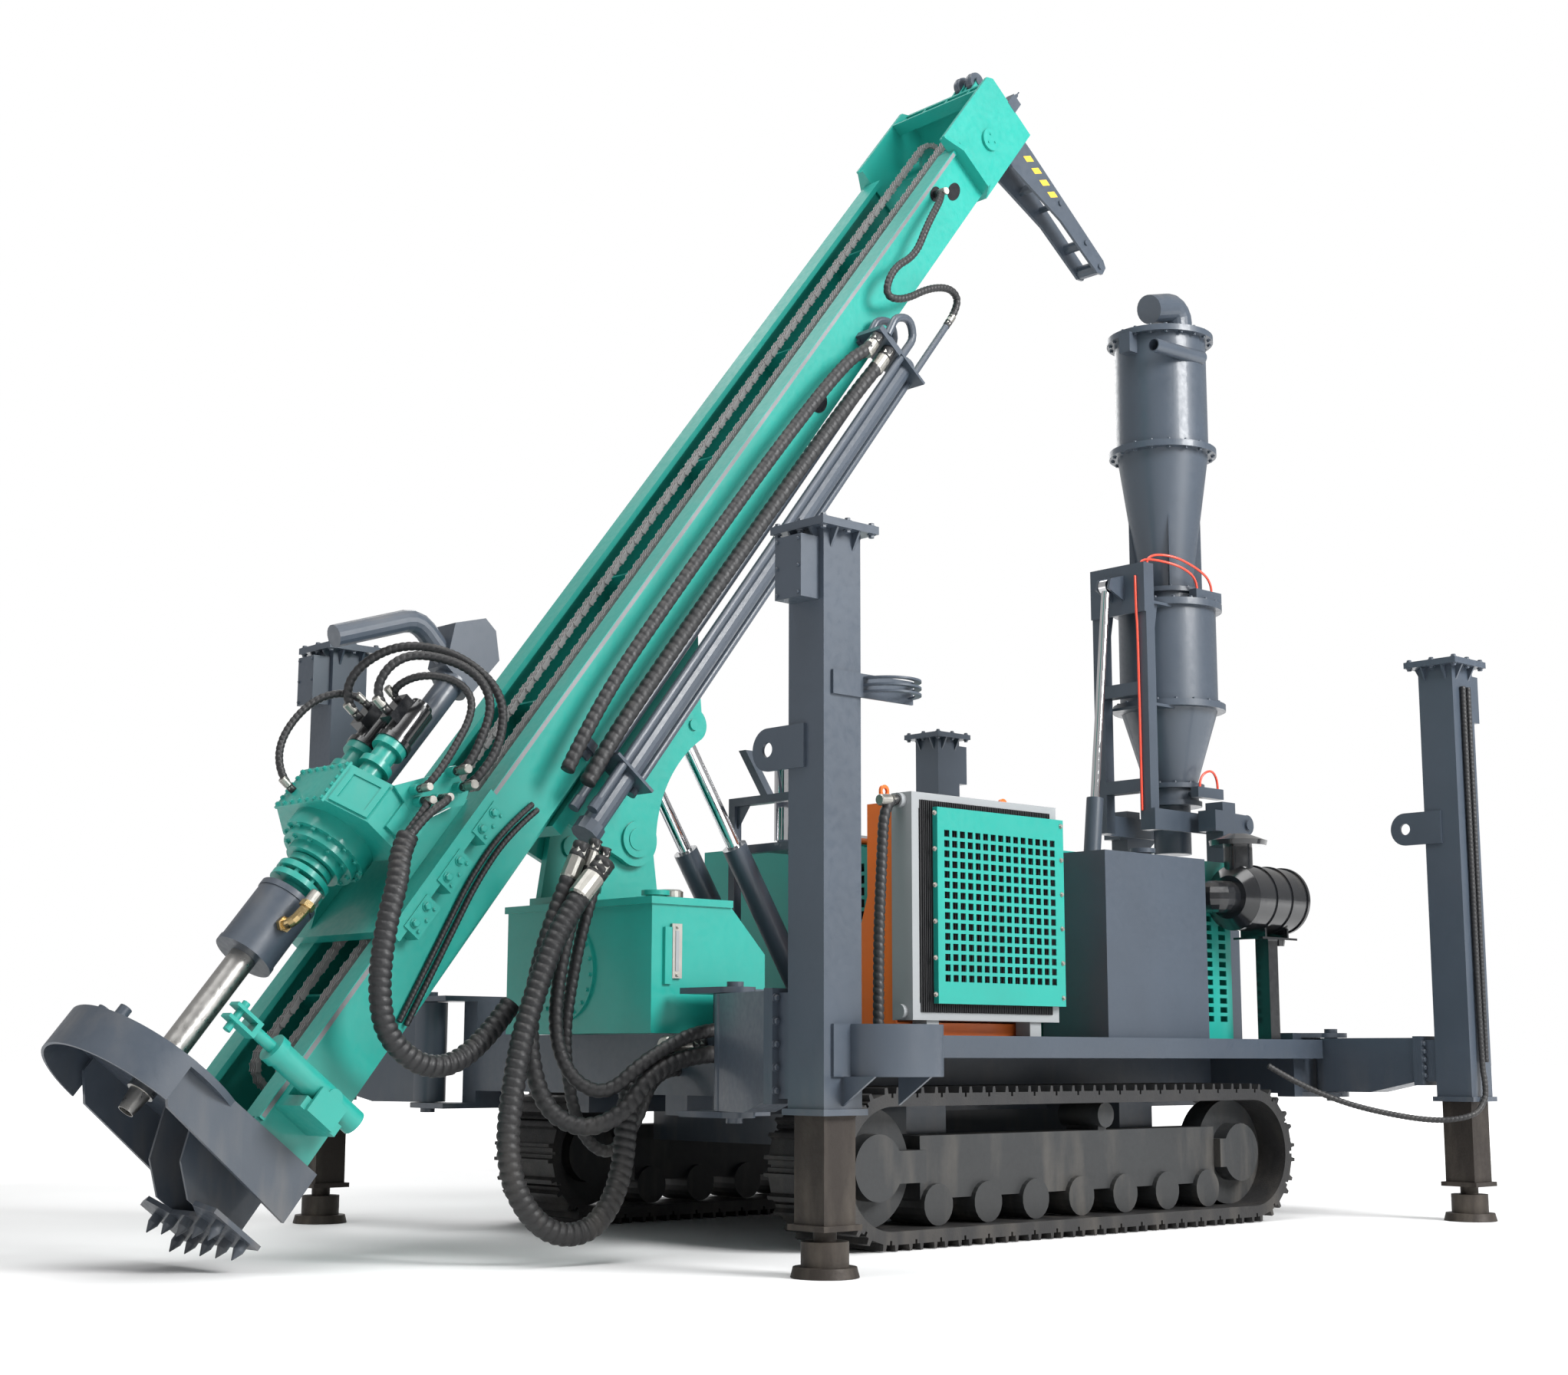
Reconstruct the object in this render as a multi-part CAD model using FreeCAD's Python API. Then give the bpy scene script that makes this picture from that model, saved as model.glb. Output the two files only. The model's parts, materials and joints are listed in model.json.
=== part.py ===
"""Tracked reverse circulation drilling rig: one STEP file for each sub-part, in millimetres.

+Z is up, +X runs from the drill end to the cyclone end and -Y is the side of the fuel tank.
Every x below is measured from the middle of the four jack legs, every y from the rig's middle
plane. The finished solids are moved by ORIGIN_X and ORIGIN_Y, so that the origin lies on the
ground at the middle of the overall box.
The mast and what rides on it are drawn lying down, with X as the height along the mast (s),
Y across it and Z in front of its rails (t), and are then tilted to MAST_ANGLE.
"""
import FreeCAD, Part
import math
import os

V = FreeCAD.Vector
os.makedirs("parts", exist_ok=True)

# Overall frame
ORIGIN_X, ORIGIN_Y = -1019.98, -60.15
SIDES = (("left", -1), ("right", 1))
GAP = 0.3                  # gap at a seat, and between pieces that slide on each other
PIN_FIT = 0.05             # radial clearance of a pin in its eye
CLEAR = 6.0                # free air between pieces that pass each other
BEND_SHARE = 0.45          # share of the shorter run that a rounded corner takes
BEND_STEP = 24.0           # degrees of a bend in one flat-sided length
PIPE_SIDES, HOSE_SIDES, BAR_SIDES = 16, 10, 12

# Chassis
DECK_TOP = 916.0
DECK_T = 40.0
DECK_X0, DECK_X1 = -1790.0, 2130.0
DECK_HALF = 1100.0
RAIL_H, RAIL_T = 100.0, 50.0
FRONT_BEAM_X0, FRONT_BEAM_X1 = -2020.0, -1790.0
FRONT_BEAM_Z0 = 655.0
REAR_BEAM_X0, REAR_BEAM_X1 = 2030.0, 2290.0
REAR_BEAM_Z0 = 630.0
BEAM_HALF = 960.0
SPINE_Y0, SPINE_Y1 = 280.0, 430.0
SPINE_Z0 = 560.0
AXLE_X = (-760.0, 760.0)
AXLE_HALF_W = 130.0
AXLE_Z0, AXLE_Z1 = 400.0, 600.0

# Tracks
TRACK_IN, TRACK_OUT = 780.0, 1230.0
WHEEL_X = 1305.0           # idler and sprocket centres
WHEEL_Z = 345.0
WHEEL_R = 262.0
BELT_IN_R = WHEEL_R + 1.0
SHOE_R = 318.0             # outer face of the shoe plates
SHOE_ROOT_R = 300.0        # gap between two shoes
LUG_R = WHEEL_Z            # lugs' tips stand on the ground
SHOES = 46
TRACK_BEAM_Y0, TRACK_BEAM_Y1 = 905.0, 1105.0
TRACK_BEAM_Z0, TRACK_BEAM_Z1 = 200.0, 475.0
TRACK_BEAM_X0, TRACK_BEAM_X1 = -1010.0, 1130.0
ROLLER_R = 92.0
ROLLERS = 7
ROLLER_SIDES = 20
CARRIER_X = 250.0
CARRIER_R = 60.0

# Jack legs and their swing arms
LEG_TUBE = 201.0
LEG_TOP = 2905.0
LEG_BOTTOM = 600.0
LEG_CAP, LEG_CAP_T = 307.0, 16.0
COVER_LOW, COVER_HIGH, COVER_OUT = 285.0, 35.0, 98.0   # cover box below the cap, and its depth
EAR_Z, EAR_R, EAR_T, EAR_HOLE_R = 2019.0, 86.0, 14.0, 30.0
EAR_OUT = 112.0            # from the leg's side to the ear's hole
TRAY_R, TRAY_Z0, TRAY_Z1, TRAY_OFF = 215.0, 745.0, 944.0, 244.0
RING_R, RING_Z = 140.0, (2235.0, 2262.0, 2290.0)
SLEEVE = 165.0             # inner tube
LEG_WALL = (LEG_TUBE - SLEEVE) / 2 - GAP
SLEEVE_Z0 = 190.0
SLEEVE_LENGTH = 1500.0
PAD_R, PAD_T = 132.0, 38.0
CUP_R, CUP_TOP = 92.0, 132.0
# name, side of the rig, leg x, leg y, pin x, pin y, arm bottom z, arm top z
LEGS = (
    ("front_left", -1, -2274.0, 1824.0, -2120.0, BEAM_HALF + 165.0, 600.0, 1075.0),
    ("front_right", 1, -2274.0, 1824.0, -2120.0, BEAM_HALF + 165.0, 600.0, 1075.0),
    ("rear_left", -1, 2258.0, 1866.0, 2250.0, BEAM_HALF + 115.0, 640.0, 925.0),
    ("rear_right", 1, 2258.0, 1866.0, 2250.0, BEAM_HALF + 115.0, 640.0, 925.0),
)
ARM_PIN_R = 35.0
ARM_HUB_R = 85.0
ARM_T = 170.0              # width of the arm's box
ARM_RISE = 60.0            # the beam's underside rises this much towards the leg
ARM_FLANGE_T, ARM_FLANGE_HALF = 25.0, 118.0
FLANGE_OFF = 95.0          # from the leg's face to the seam of the two bolted flanges
CLEVIS_T = 25.0

# Hydraulic oil tank
OIL_X0, OIL_X1 = -2303.0, -1663.0
OIL_Y0, OIL_Y1 = 160.0 - BEAM_HALF, 235.0
OIL_TOP = 1487.0
OIL_CUT_X, OIL_CUT_Z = -1860.0, 1260.0
OIL_FRONT_X = -2240.0      # back of the shallow part in front of the tower
OIL_STEP_Y = -262.0
COVER_R = 215.0
COVER_Y, COVER_Z = -200.0, 1185.0

# Tower, hub and luff cylinders
HUB_X, HUB_Z = -1980.0, 1783.0
HUB_R, HUB_PIN_R = 125.0, 50.0
TOWER_Y0, TOWER_Y1 = 205.0, 243.0
TOWER_X0, TOWER_X1 = -2220.0, -1720.0
CHEEK_Y0, CHEEK_Y1 = 250.0, 282.0     # side plates of the slide frame
LUFF_BASE_X, LUFF_BASE_Z = -790.0, 1010.0
LUFF_Y = 180.0
LUFF_BARREL_R, LUFF_ROD_R = 60.0, 34.0
LUFF_BARREL = 945.0
LUFF_EYE_R = 62.0

# Mast
MAST_ANGLE = 52.0
MAST_OFF = 3400.0          # rails' front plane, from the origin of the drawing
MAST_S0, MAST_S1 = -1930.0, 4520.0
MAST_HALF = 325.0
MAST_DEPTH = 300.0
MAST_T = 14.0
FLANGE_IN, FLANGE_OUT, FLANGE_T = 225.0, 345.0, 26.0
GUIDE_IN, GUIDE_OUT, GUIDE_T = 200.0, 245.0, 50.0
GUIDE_S0, GUIDE_S1 = -1250.0, 2300.0
BED_S0, BED_S1 = -80.0, 1300.0
BED_T = 60.0
LUFF_S, LUFF_T = 828.0, -659.0
DRILL_T = 310.0            # drill axis in front of the rails
CHAIN_Y = 105.0
CHAIN_W, CHAIN_T = 44.0, 30.0
CHAIN_R = 100.0
CHAIN_AXIS_T = -140.0
CHAIN_TOP_S, CHAIN_LOW_S = 4810.0, -1560.0
CROWN_S1 = 5125.0
CROWN_BACK, CROWN_FRONT = -330.0, 95.0
CROWN_LIP_HALF = 395.0
FRONT_BAR_S = 4965.0
PULLEY_S, PULLEY_T, PULLEY_R = 5215.0, 45.0, 50.0
PULLEY_Y = (-140.0, -50.0)
CROWN_Y0, CROWN_Y1 = 318.0, 338.0

# Mast pipes: across, front distance, radius, start and end along the mast
PIPE_RUNS = (
    (-415.0, -445.0, 54.0, -20.0, 3190.0),
    (-365.0, -350.0, 21.0, 60.0, 3190.0),
    (-476.0, -372.0, 21.0, 60.0, 3200.0),
    (-400.0, -530.0, 18.0, 300.0, 3610.0),
)
PIPE_BRACKET_S = (280.0, 3130.0)

# Jib
JIB_S, JIB_T0 = 5035.0, -270.0
JIB_LENGTH = 960.0
JIB_Y0, JIB_Y1 = -285.0, -125.0
JIB_PLATE = 16.0

# Hoses: radius, and the corners of their routes
HOSE_BEND = 6.0            # bend radius in hose radii
MAST_HOSES = (
    (33.0, ((3110, -462, -205), (3000, -462, -205), (2840, -462, -140), (2100, -462, -105), (1000, -462,
                                                                                             -98),
            (400, -462, -112), (60, -462, -170))),
    (38.0, ((3110, -462, -300), (3000, -462, -300), (2700, -462, -280), (1800, -462, -262), (900, -462,
                                                                                             -258),
            (300, -462, -262), (90, -462, -285))),
    (20.0, ((4215, -325.3, -70), (4215, -400, -70), (3900, -440, -80), (3690, -445, -125), (3500, -445, -60),
            (3330, -445, -110), (3420, -445, -215), (3640, -445, -300), (3790, -430, -420), (3790, -400,
                                                                                             -530),
            (3610.3, -400, -530))),
    (13.0, ((-110, -338.3, -190), (-300, -338.3, -145), (-560, -338.3, -150), (-800, -338.3, -190),
            (-1240, -338.3, -262))),
    (13.0, ((-110, -338.3, -225), (-290, -338.3, -180), (-550, -338.3, -185), (-790, -338.3, -225),
            (-1230, -338.3, -297))),
)
HEAD_HOSES = (
    (46.0, ((-700, -470, 250), (-780, -480, 240), (-900, -540, 200), (-1075, -556, 140), (-1300, -556, 0),
            (-1420, -556, -160), (-1390, -556, -400), (-1180, -556, -520), (-940, -556, -525))),
    (18.0, ((-505, -397.3, 255), (-505, -450, 255), (-600, -450, 250), (-699.7, -450, 250))),
    (18.0, ((-440, -397.3, 200), (-440, -490, 200), (-560, -490, 240), (-650, -490, 250), (-699.7, -490,
                                                                                           250))),
    (20.0, ((-190, -115, 505.3), (-190, -115, 600), (-60, -150, 650), (60, -200, 600), (130, -330, 420),
            (40, -440, 280), (-200, -450, 215), (-300, -450, 215), (-300, -397.3, 215))),
    (20.0, ((-190, 115, 505.3), (-190, 115, 610), (-60, 60, 680), (130, -40, 620), (210, -200, 440),
            (110, -420, 260), (-100, -470, 150), (-330, -470, 150), (-330, -397.3, 150))),
    (17.0, ((-120, -115, 505.3), (-120, -115, 560), (-40, -260, 560), (20, -380, 440), (-40, -430, 330),
            (-300, -450, 300), (-480, -450, 300), (-480, -397.3, 300))),
    (17.0, ((-640, 130, 530.3), (-640, 130, 620), (-480, 200, 700), (-250, 180, 700), (-120, 115, 600),
            (-120, 115, 505.3))),
)
DECK_HOSES = (
    (38.0, ((-2570, -660, 1700), (-2690, -660, 1440), (-2790, -665, 1180), (-2850, -680, 900), (-2800,
                                                                                                -720, 620),
            (-2660, -800, 520), (-2500, -870, 580), (-2380, -905, 760), (-2150, -915, 830), (-2020.3,
                                                                                             -915, 830))),
    (30.0, ((-2490, -650, 1720), (-2600, -655, 1440), (-2680, -665, 1180), (-2730, -700, 900), (-2680,
                                                                                                -760, 720),
            (-2560, -840, 660), (-2420, -900, 800), (-2150, -915, 930), (-2020.3, -915, 930))),
    (26.0, ((-2430, -642, 1690), (-2520, -642, 1440), (-2590, -642, 1180), (-2640, -642, 860), (-2560,
                                                                                                -642, 520),
            (-2400, -642, 400), (-2250, -642, 520), (-2150, -642, 760), (-2020.3, -642, 760))),
    (26.0, ((-980.3, -945, 1987), (-1060, -945, 1987), (-1085, -950, 1700), (-1120, -960, 1300),
            (-1120, -960, 916.3))),
)
LEG_HOSES = (
    (15.0, ((2235, -1981.1, 2760), (2235, -1981.1, 800), (2235, -2001, 690), (2225, -2001, 600),
            (2110, -1990, 520), (1950, -1800, 500), (1600, -1420, 620), (1400, -1260, 780))),
    (15.0, ((2285, -1981.1, 2760), (2285, -1981.1, 800))),
)
AIR_HOSES = (
    (7.0, ((2260, -362, 3518.3), (2260, -362, 3590), (2080, -390, 3640), (1900, -360, 3690), (1775, -270,
                                                                                              3690),
           (1775, -270, 3635.3))),
    (7.0, ((2120, -362, 3518.3), (2120, -362, 3560), (2010, -400, 3600), (1880, -370, 3640), (1745, -250,
                                                                                              3670),
           (1745, -250, 3635.3))),
    (7.0, ((2300, -335, 2358.3), (2300, -335, 2420), (2220, -350, 2470), (2130, -335, 2420), (2130, -335,
                                                                                              2358.3))),
    (7.0, ((1701.2, -240, 3560), (1701.2, -240, 3340), (1715.2, -240, 3250), (1715.2, -240, 2200))),
)

# Carriage and rotary head
CARRIAGE_S0, CARRIAGE_S1 = -1020.0, -240.0
CARRIAGE_HALF, CARRIAGE_T = 400.0, 40.0
CLAMP_S = (-875.0, -627.0, -358.0)
BOX_S0, BOX_S1 = -720.0, -520.0
BOX_HALF, BOX_TOP_HALF = 334.0, 190.0
BOX_SEAT_T, BOX_SIDE_T, BOX_T1 = 150.0, 370.0, 520.0
NOSE = ((0.0, 80.0, 190.0), (79.0, 120.0, 165.0), (119.0, 160.0, 125.0))   # start, end, radius
SWIVEL_S0, SWIVEL_S1 = -1365.0, -1050.0
SWIVEL_R = 128.0
PIPE_R, PIPE_BORE = 57.0, 35.0
PIPE_END = -2130.0
SPINDLE_R, SPINDLE_BORE = 61.9, 30.0
MOTOR_Y, MOTOR_T = 115.0, 400.0
HOSE_PLATE = ((-560.0, 240.0), (-530.0, 380.0), (-320.0, 235.0), (-285.0, 170.0), (-300.0, 95.0), (-360.0,
                                                                                                   75.0))
PLATE_PORTS = ((-300.0, 215.0), (-330.0, 150.0), (-480.0, 300.0), (-505.0, 255.0), (-440.0, 200.0))
MOTOR_SEAT = 230.0         # green coupling housings under the motors
PLATE_Y = -352.0           # outer face of the hose plate

# Mast foot
FOOT_PLATE_T = 28.0
SKIRT_R, SKIRT_H, SKIRT_T = 400.0, 180.0, 12.0
FOOT_HOLE_R = 75.0
SHOE_S = -2262.0
SPIKE_R, SPIKE_L = 22.0, 78.0

# Radiator, hood, fuel tank, air cleaner
HOOD_X0, HOOD_X1 = -600.0, 965.0
HOOD_Y0, HOOD_Y1 = -545.0, 860.0
HOOD_TOP = 1885.0
HOOD_WALL = 20.0
RAD_X0, RAD_X1 = -950.0, 60.0
RAD_Y0, RAD_Y1 = -1010.0, -880.0
RAD_FOOT = 69.0
RAD_Z0, RAD_Z1 = DECK_TOP + RAD_FOOT, 2025.0
GRILLE_X0, GRILLE_Z0, GRILLE_Z1 = -824.0, 1060.0, 1960.0
GRILLE_COLS, GRILLE_ROWS = 15, 15
FUEL_X0, FUEL_X1 = 444.0, 1262.0
FUEL_Y0, FUEL_Y1 = -1000.0, -575.0
FUEL_TOP = 1847.0
AIR_X0, AIR_X1, AIR_Y, AIR_Z = 1545.0, 1990.0, -970.0, 1662.0
AIR_R = 175.0
AIR_PIPE_X = 1410.0
CABINET_X0, CABINET_X1, CABINET_Y0 = 1300.0, 1770.0, -780.0
VENT_ROWS, VENT_PITCH, VENT_Z = 12, 48.5, 1010.0
SILENCER_X, SILENCER_Y = -1000.0, -230.0
SILENCER_Z0, SILENCER_Z1, SILENCER_R = 1800.0, 2330.0, 68.0
RAIL_X, RAIL_Z, RAIL_LOW_Z = -1160.0, 2053.0, 1780.0

# Cyclone
CYC_X, CYC_Y = 2170.0, -100.0
TILT_X, TILT_Z = 2410.0, 2150.0
ELBOW_X, ELBOW_Y, ELBOW_R = 128.0, -40.0, 88.0
INLET_Z = 4940.0
FIN_R = 212.0
SHELL_R = 285.0            # lower shell
SHELF_Z = (3418.0, 2822.0)  # underside of the two flanges that rest on shelves
GATES = ((3488.0, 262.0), (2328.0, 235.0))     # height, distance from the axis
STAND_HALF = 345.0         # stand posts, each side of the cyclone
STAND_POST = 120.0
LADDER_X, LADDER_HALF, LADDER_POST = 1760.0, 160.0, 75.0
LADDER_Z0, LADDER_Z1 = 2090.0, 3635.0
RUNG_Z = (2310.0, 2870.0)
PLATE_LOW_Z = 3345.0       # lower edge of the ladder frame's top plate
TILT_LUG_X, TILT_LUG_Z = 1610.0, 3500.0
TILT_BASE_X, TILT_BASE_Z = 1330.0, 1010.0
TILT_BARREL_R, TILT_ROD_R = 48.0, 26.0
TILT_BARREL = 1260.0
TILT_ENGAGED = 100.0       # rod still inside the barrel when the cyclone stands upright


def box(x0, x1, y0, y1, z0, z1):
    """A block from its lowest to its highest corner."""
    return Part.makeBox(x1 - x0, y1 - y0, z1 - z0, V(x0, y0, z0))


def rod(start, end, radius):
    """A round bar between two points."""
    a, b = V(*start), V(*end)
    return Part.makeCylinder(radius, (b - a).Length, a, b - a)


def tube(start, end, outer, inner):
    """A round pipe between two points."""
    return rod(start, end, outer).cut(rod(start, end, inner))


def cone(start, end, r0, r1):
    """A round taper between two points."""
    a, b = V(*start), V(*end)
    return Part.makeCone(r0, r1, (b - a).Length, a, b - a)


def plate_xz(points, y0, y1):
    """A flat plate with an outline in the XZ plane, from y0 to y1."""
    wire = Part.makePolygon([V(x, y0, z) for x, z in points + points[:1]])
    return Part.Face(wire).extrude(V(0, y1 - y0, 0))


def plate_xy(points, z0, z1):
    """A flat plate with an outline in the XY plane, from z0 to z1."""
    wire = Part.makePolygon([V(x, y, z0) for x, y in points + points[:1]])
    return Part.Face(wire).extrude(V(0, 0, z1 - z0))


def plate_yz(points, x0, x1):
    """A flat plate with an outline in the YZ plane, from x0 to x1."""
    wire = Part.makePolygon([V(x0, y, z) for y, z in points + points[:1]])
    return Part.Face(wire).extrude(V(x1 - x0, 0, 0))


def revolve(profile, x, y):
    """A turned piece about the vertical axis through x, y, from radius and height pairs."""
    wire = Part.makePolygon([V(x + r, y, z) for r, z in profile + profile[:1]])
    return Part.Face(wire).revolve(V(x, y, 0), V(0, 0, 1), 360)


def square_tube(x, y, z0, z1, side, wall):
    """An upright square hollow section."""
    half, inner = side / 2, side / 2 - wall
    outer = box(x - half, x + half, y - half, y + half, z0, z1)
    return outer.cut(box(x - inner, x + inner, y - inner, y + inner, z0, z1))


def rounded_path(points, bend):
    """The points of straight runs with rounded corners, in short steps."""
    pts = [V(*p) for p in points]
    path = [pts[0]]
    for before, corner, after in zip(pts, pts[1:], pts[2:]):
        u, w = before - corner, after - corner
        shorter = min(u.Length, w.Length)
        u.normalize()
        w.normalize()
        turn = math.pi - u.getAngle(w)
        radius = min(bend, BEND_SHARE * shorter / math.tan(turn / 2))
        a, b = corner + u * (radius * math.tan(turn / 2)), corner + w * (radius * math.tan(turn / 2))
        centre = corner + (u + w).normalize() * (radius / math.cos(turn / 2))
        axis = (a - centre).cross(b - centre)
        count = max(2, math.ceil(math.degrees(turn) / BEND_STEP))
        for i in range(count + 1):
            swing = FreeCAD.Rotation(axis, math.degrees(turn) * i / count)
            path.append(centre + swing.multVec(a - centre))
    return path + [pts[-1]]


def pipe_run(points, radius, bend, sides=PIPE_SIDES):
    """A pipe or hose along straight runs with rounded corners, as mitred flat-sided lengths."""
    path = rounded_path(points, bend)
    ways = [(b - a).normalize() for a, b in zip(path, path[1:])]
    first = ways[0]
    up = V(0, 0, 1) if abs(first.z) < 0.9 else V(1, 0, 0)
    u = first.cross(up).normalize()
    w = first.cross(u)
    angles = [2 * math.pi * (i + 0.5) / sides for i in range(sides)]
    rings = [[path[0] + u * (radius * math.cos(a)) + w * (radius * math.sin(a)) for a in angles]]
    for i, at in enumerate(path[1:]):
        before, after = ways[i], ways[min(i + 1, len(ways) - 1)]
        mitre = before + after
        rings.append([p + before * ((at - p).dot(mitre) / before.dot(mitre)) for p in rings[-1]])
    faces = [Part.Face(Part.makePolygon(ring + ring[:1])) for ring in (rings[0], rings[-1])]
    for low, high in zip(rings, rings[1:]):
        for k in range(sides):
            n = (k + 1) % sides
            faces.append(Part.Face(Part.makePolygon([low[k], low[n], high[n], high[k], low[k]])))
    solid = Part.Solid(Part.Shell(faces))
    if solid.Volume < 0:
        solid.reverse()
    return solid


def bar(start, end, radius, sides=BAR_SIDES):
    """A many-sided bar between two points, for small pieces that repeat."""
    a, b = V(*start), V(*end)
    return pipe_run([tuple(a), tuple(b)], radius, radius, sides)


def fuse(shapes):
    """One shape of many, with its seams taken out."""
    shapes = list(shapes)
    return shapes[0].fuse(shapes[1:]).removeSplitter() if len(shapes) > 1 else shapes[0]


MAST_TURN = FreeCAD.Rotation(V(0, 1, 0), -MAST_ANGLE)
MAST_PLACE = FreeCAD.Placement(MAST_TURN.multVec(V(0, 0, MAST_OFF)), MAST_TURN)


def on_mast(shape):
    """Tilts a piece drawn in mast measure to where the mast stands."""
    turned = shape.copy()
    turned.Placement = MAST_PLACE.multiply(turned.Placement)
    return turned


def save(name, shape):
    """Moves a finished sub-part to the rig's origin and writes it."""
    moved = shape.copy()
    moved.translate(V(-ORIGIN_X, -ORIGIN_Y, 0))
    solids = moved.Solids
    kept = solids[0] if len(solids) == 1 else Part.makeCompound(solids)
    kept.exportStep("parts/" + name + ".step")
    PARTS[name] = kept
    return kept


PARTS = {}


# Chassis and running gear

def chassis_frame():
    """Deck, side rails, end beams, spine and the arms' clevises, welded as one frame."""
    bits = [box(DECK_X0, DECK_X1, -DECK_HALF, DECK_HALF, DECK_TOP - DECK_T, DECK_TOP)]
    bits.append(box(FRONT_BEAM_X0, FRONT_BEAM_X1, -BEAM_HALF, BEAM_HALF, FRONT_BEAM_Z0, DECK_TOP))
    bits.append(box(REAR_BEAM_X0, REAR_BEAM_X1, -BEAM_HALF, BEAM_HALF, REAR_BEAM_Z0, DECK_TOP))
    for side in (-1, 1):
        edge = sorted((side * DECK_HALF, side * (DECK_HALF - RAIL_T)))
        bits.append(box(DECK_X0, DECK_X1, edge[0], edge[1], DECK_TOP - RAIL_H, DECK_TOP))
        spine = sorted((side * SPINE_Y0, side * SPINE_Y1))
        bits.append(box(DECK_X0, REAR_BEAM_X0, spine[0], spine[1], SPINE_Z0, DECK_TOP - DECK_T))
    for x in AXLE_X:
        bits.append(box(x - AXLE_HALF_W, x + AXLE_HALF_W, -TRACK_BEAM_Y0, TRACK_BEAM_Y0, AXLE_Z0, AXLE_Z1))
    frame = fuse(bits)
    clevises = []
    for name, side, leg_x, leg_y, pin_x, pin_y, low, high in LEGS:
        clevises += clevis(side, pin_x, pin_y, low, high)
    frame = fuse([frame] + clevises)
    for name, side, leg_x, leg_y, pin_x, pin_y, low, high in LEGS:
        pin = rod((pin_x, side * pin_y, low - 4 * CLEVIS_T), (pin_x, side * pin_y, high + 4 * CLEVIS_T),
                  ARM_PIN_R + PIN_FIT)
        frame = frame.cut(pin)
    return frame


def clevis(side, pin_x, pin_y, low, high):
    """Two flat ears above and below an arm's hub, on a post at the end of a beam."""
    beam_x0, beam_x1 = (FRONT_BEAM_X0, FRONT_BEAM_X1) if pin_x < 0 else (REAR_BEAM_X0, REAR_BEAM_X1)
    root_y = BEAM_HALF - 90.0
    out = []
    for z0 in (low - CLEVIS_T - CLEAR / 2, high + CLEAR / 2):
        reach_x = (min(beam_x0, pin_x - ARM_HUB_R), max(beam_x1, pin_x + ARM_HUB_R))
        points = [(reach_x[0], side * root_y), (reach_x[1], side * root_y),
                  (pin_x + ARM_HUB_R, side * pin_y), (pin_x - ARM_HUB_R, side * pin_y)]
        ear = plate_xy(points, z0, z0 + CLEVIS_T)
        ear = ear.fuse(rod((pin_x, side * pin_y, z0), (pin_x, side * pin_y, z0 + CLEVIS_T), ARM_HUB_R))
        out.append(ear)
    post_y = sorted((side * root_y, side * (BEAM_HALF + 20.0)))
    post_x = (beam_x0, beam_x1)
    out.append(box(post_x[0], post_x[1], post_y[0], post_y[1],
                   low - CLEVIS_T - CLEAR / 2, high + CLEAR / 2 + CLEVIS_T))
    return out


def belt_point(distance, offset):
    """A point on the belt's path, at a distance along it and an offset from the wheels' pitch."""
    straight = 2 * WHEEL_X
    turn = math.pi * SHOE_ROOT_R
    distance %= 2 * (straight + turn)
    if distance < straight:
        return (-WHEEL_X + distance, WHEEL_Z + offset)
    distance -= straight
    if distance < turn:
        angle = math.pi / 2 - distance / SHOE_ROOT_R
        return (WHEEL_X + offset * math.cos(angle), WHEEL_Z + offset * math.sin(angle))
    distance -= turn
    if distance < straight:
        return (WHEEL_X - distance, WHEEL_Z - offset)
    angle = -math.pi / 2 - (distance - straight) / SHOE_ROOT_R
    return (-WHEEL_X + offset * math.cos(angle), WHEEL_Z + offset * math.sin(angle))


# One shoe's outline: share of the pitch, and offset from the wheels' centre line
SHOE_PROFILE = (
    (0.03, SHOE_ROOT_R), (0.03, SHOE_R), (0.14, SHOE_R), (0.16, LUG_R), (0.25, LUG_R), (0.28, SHOE_R),
    (0.70, SHOE_R), (0.73, LUG_R), (0.82, LUG_R), (0.84, SHOE_R), (0.95, SHOE_R), (0.95, SHOE_ROOT_R),
)


def track(side):
    """One endless belt with its shoes and lugs in its outline."""
    length = 2 * (2 * WHEEL_X + math.pi * SHOE_ROOT_R)
    pitch = length / SHOES
    outline = []
    for shoe in range(SHOES):
        for share, offset in SHOE_PROFILE:
            outline.append(belt_point((shoe + share) * pitch, offset))
    y0, y1 = sorted((side * TRACK_IN, side * TRACK_OUT))
    belt = plate_xz(outline, y0, y1)
    hollow = fuse([
        box(-WHEEL_X, WHEEL_X, y0, y1, WHEEL_Z - BELT_IN_R, WHEEL_Z + BELT_IN_R),
        rod((-WHEEL_X, y0, WHEEL_Z), (-WHEEL_X, y1, WHEEL_Z), BELT_IN_R),
        rod((WHEEL_X, y0, WHEEL_Z), (WHEEL_X, y1, WHEEL_Z), BELT_IN_R),
    ])
    return belt.cut(hollow)


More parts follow.
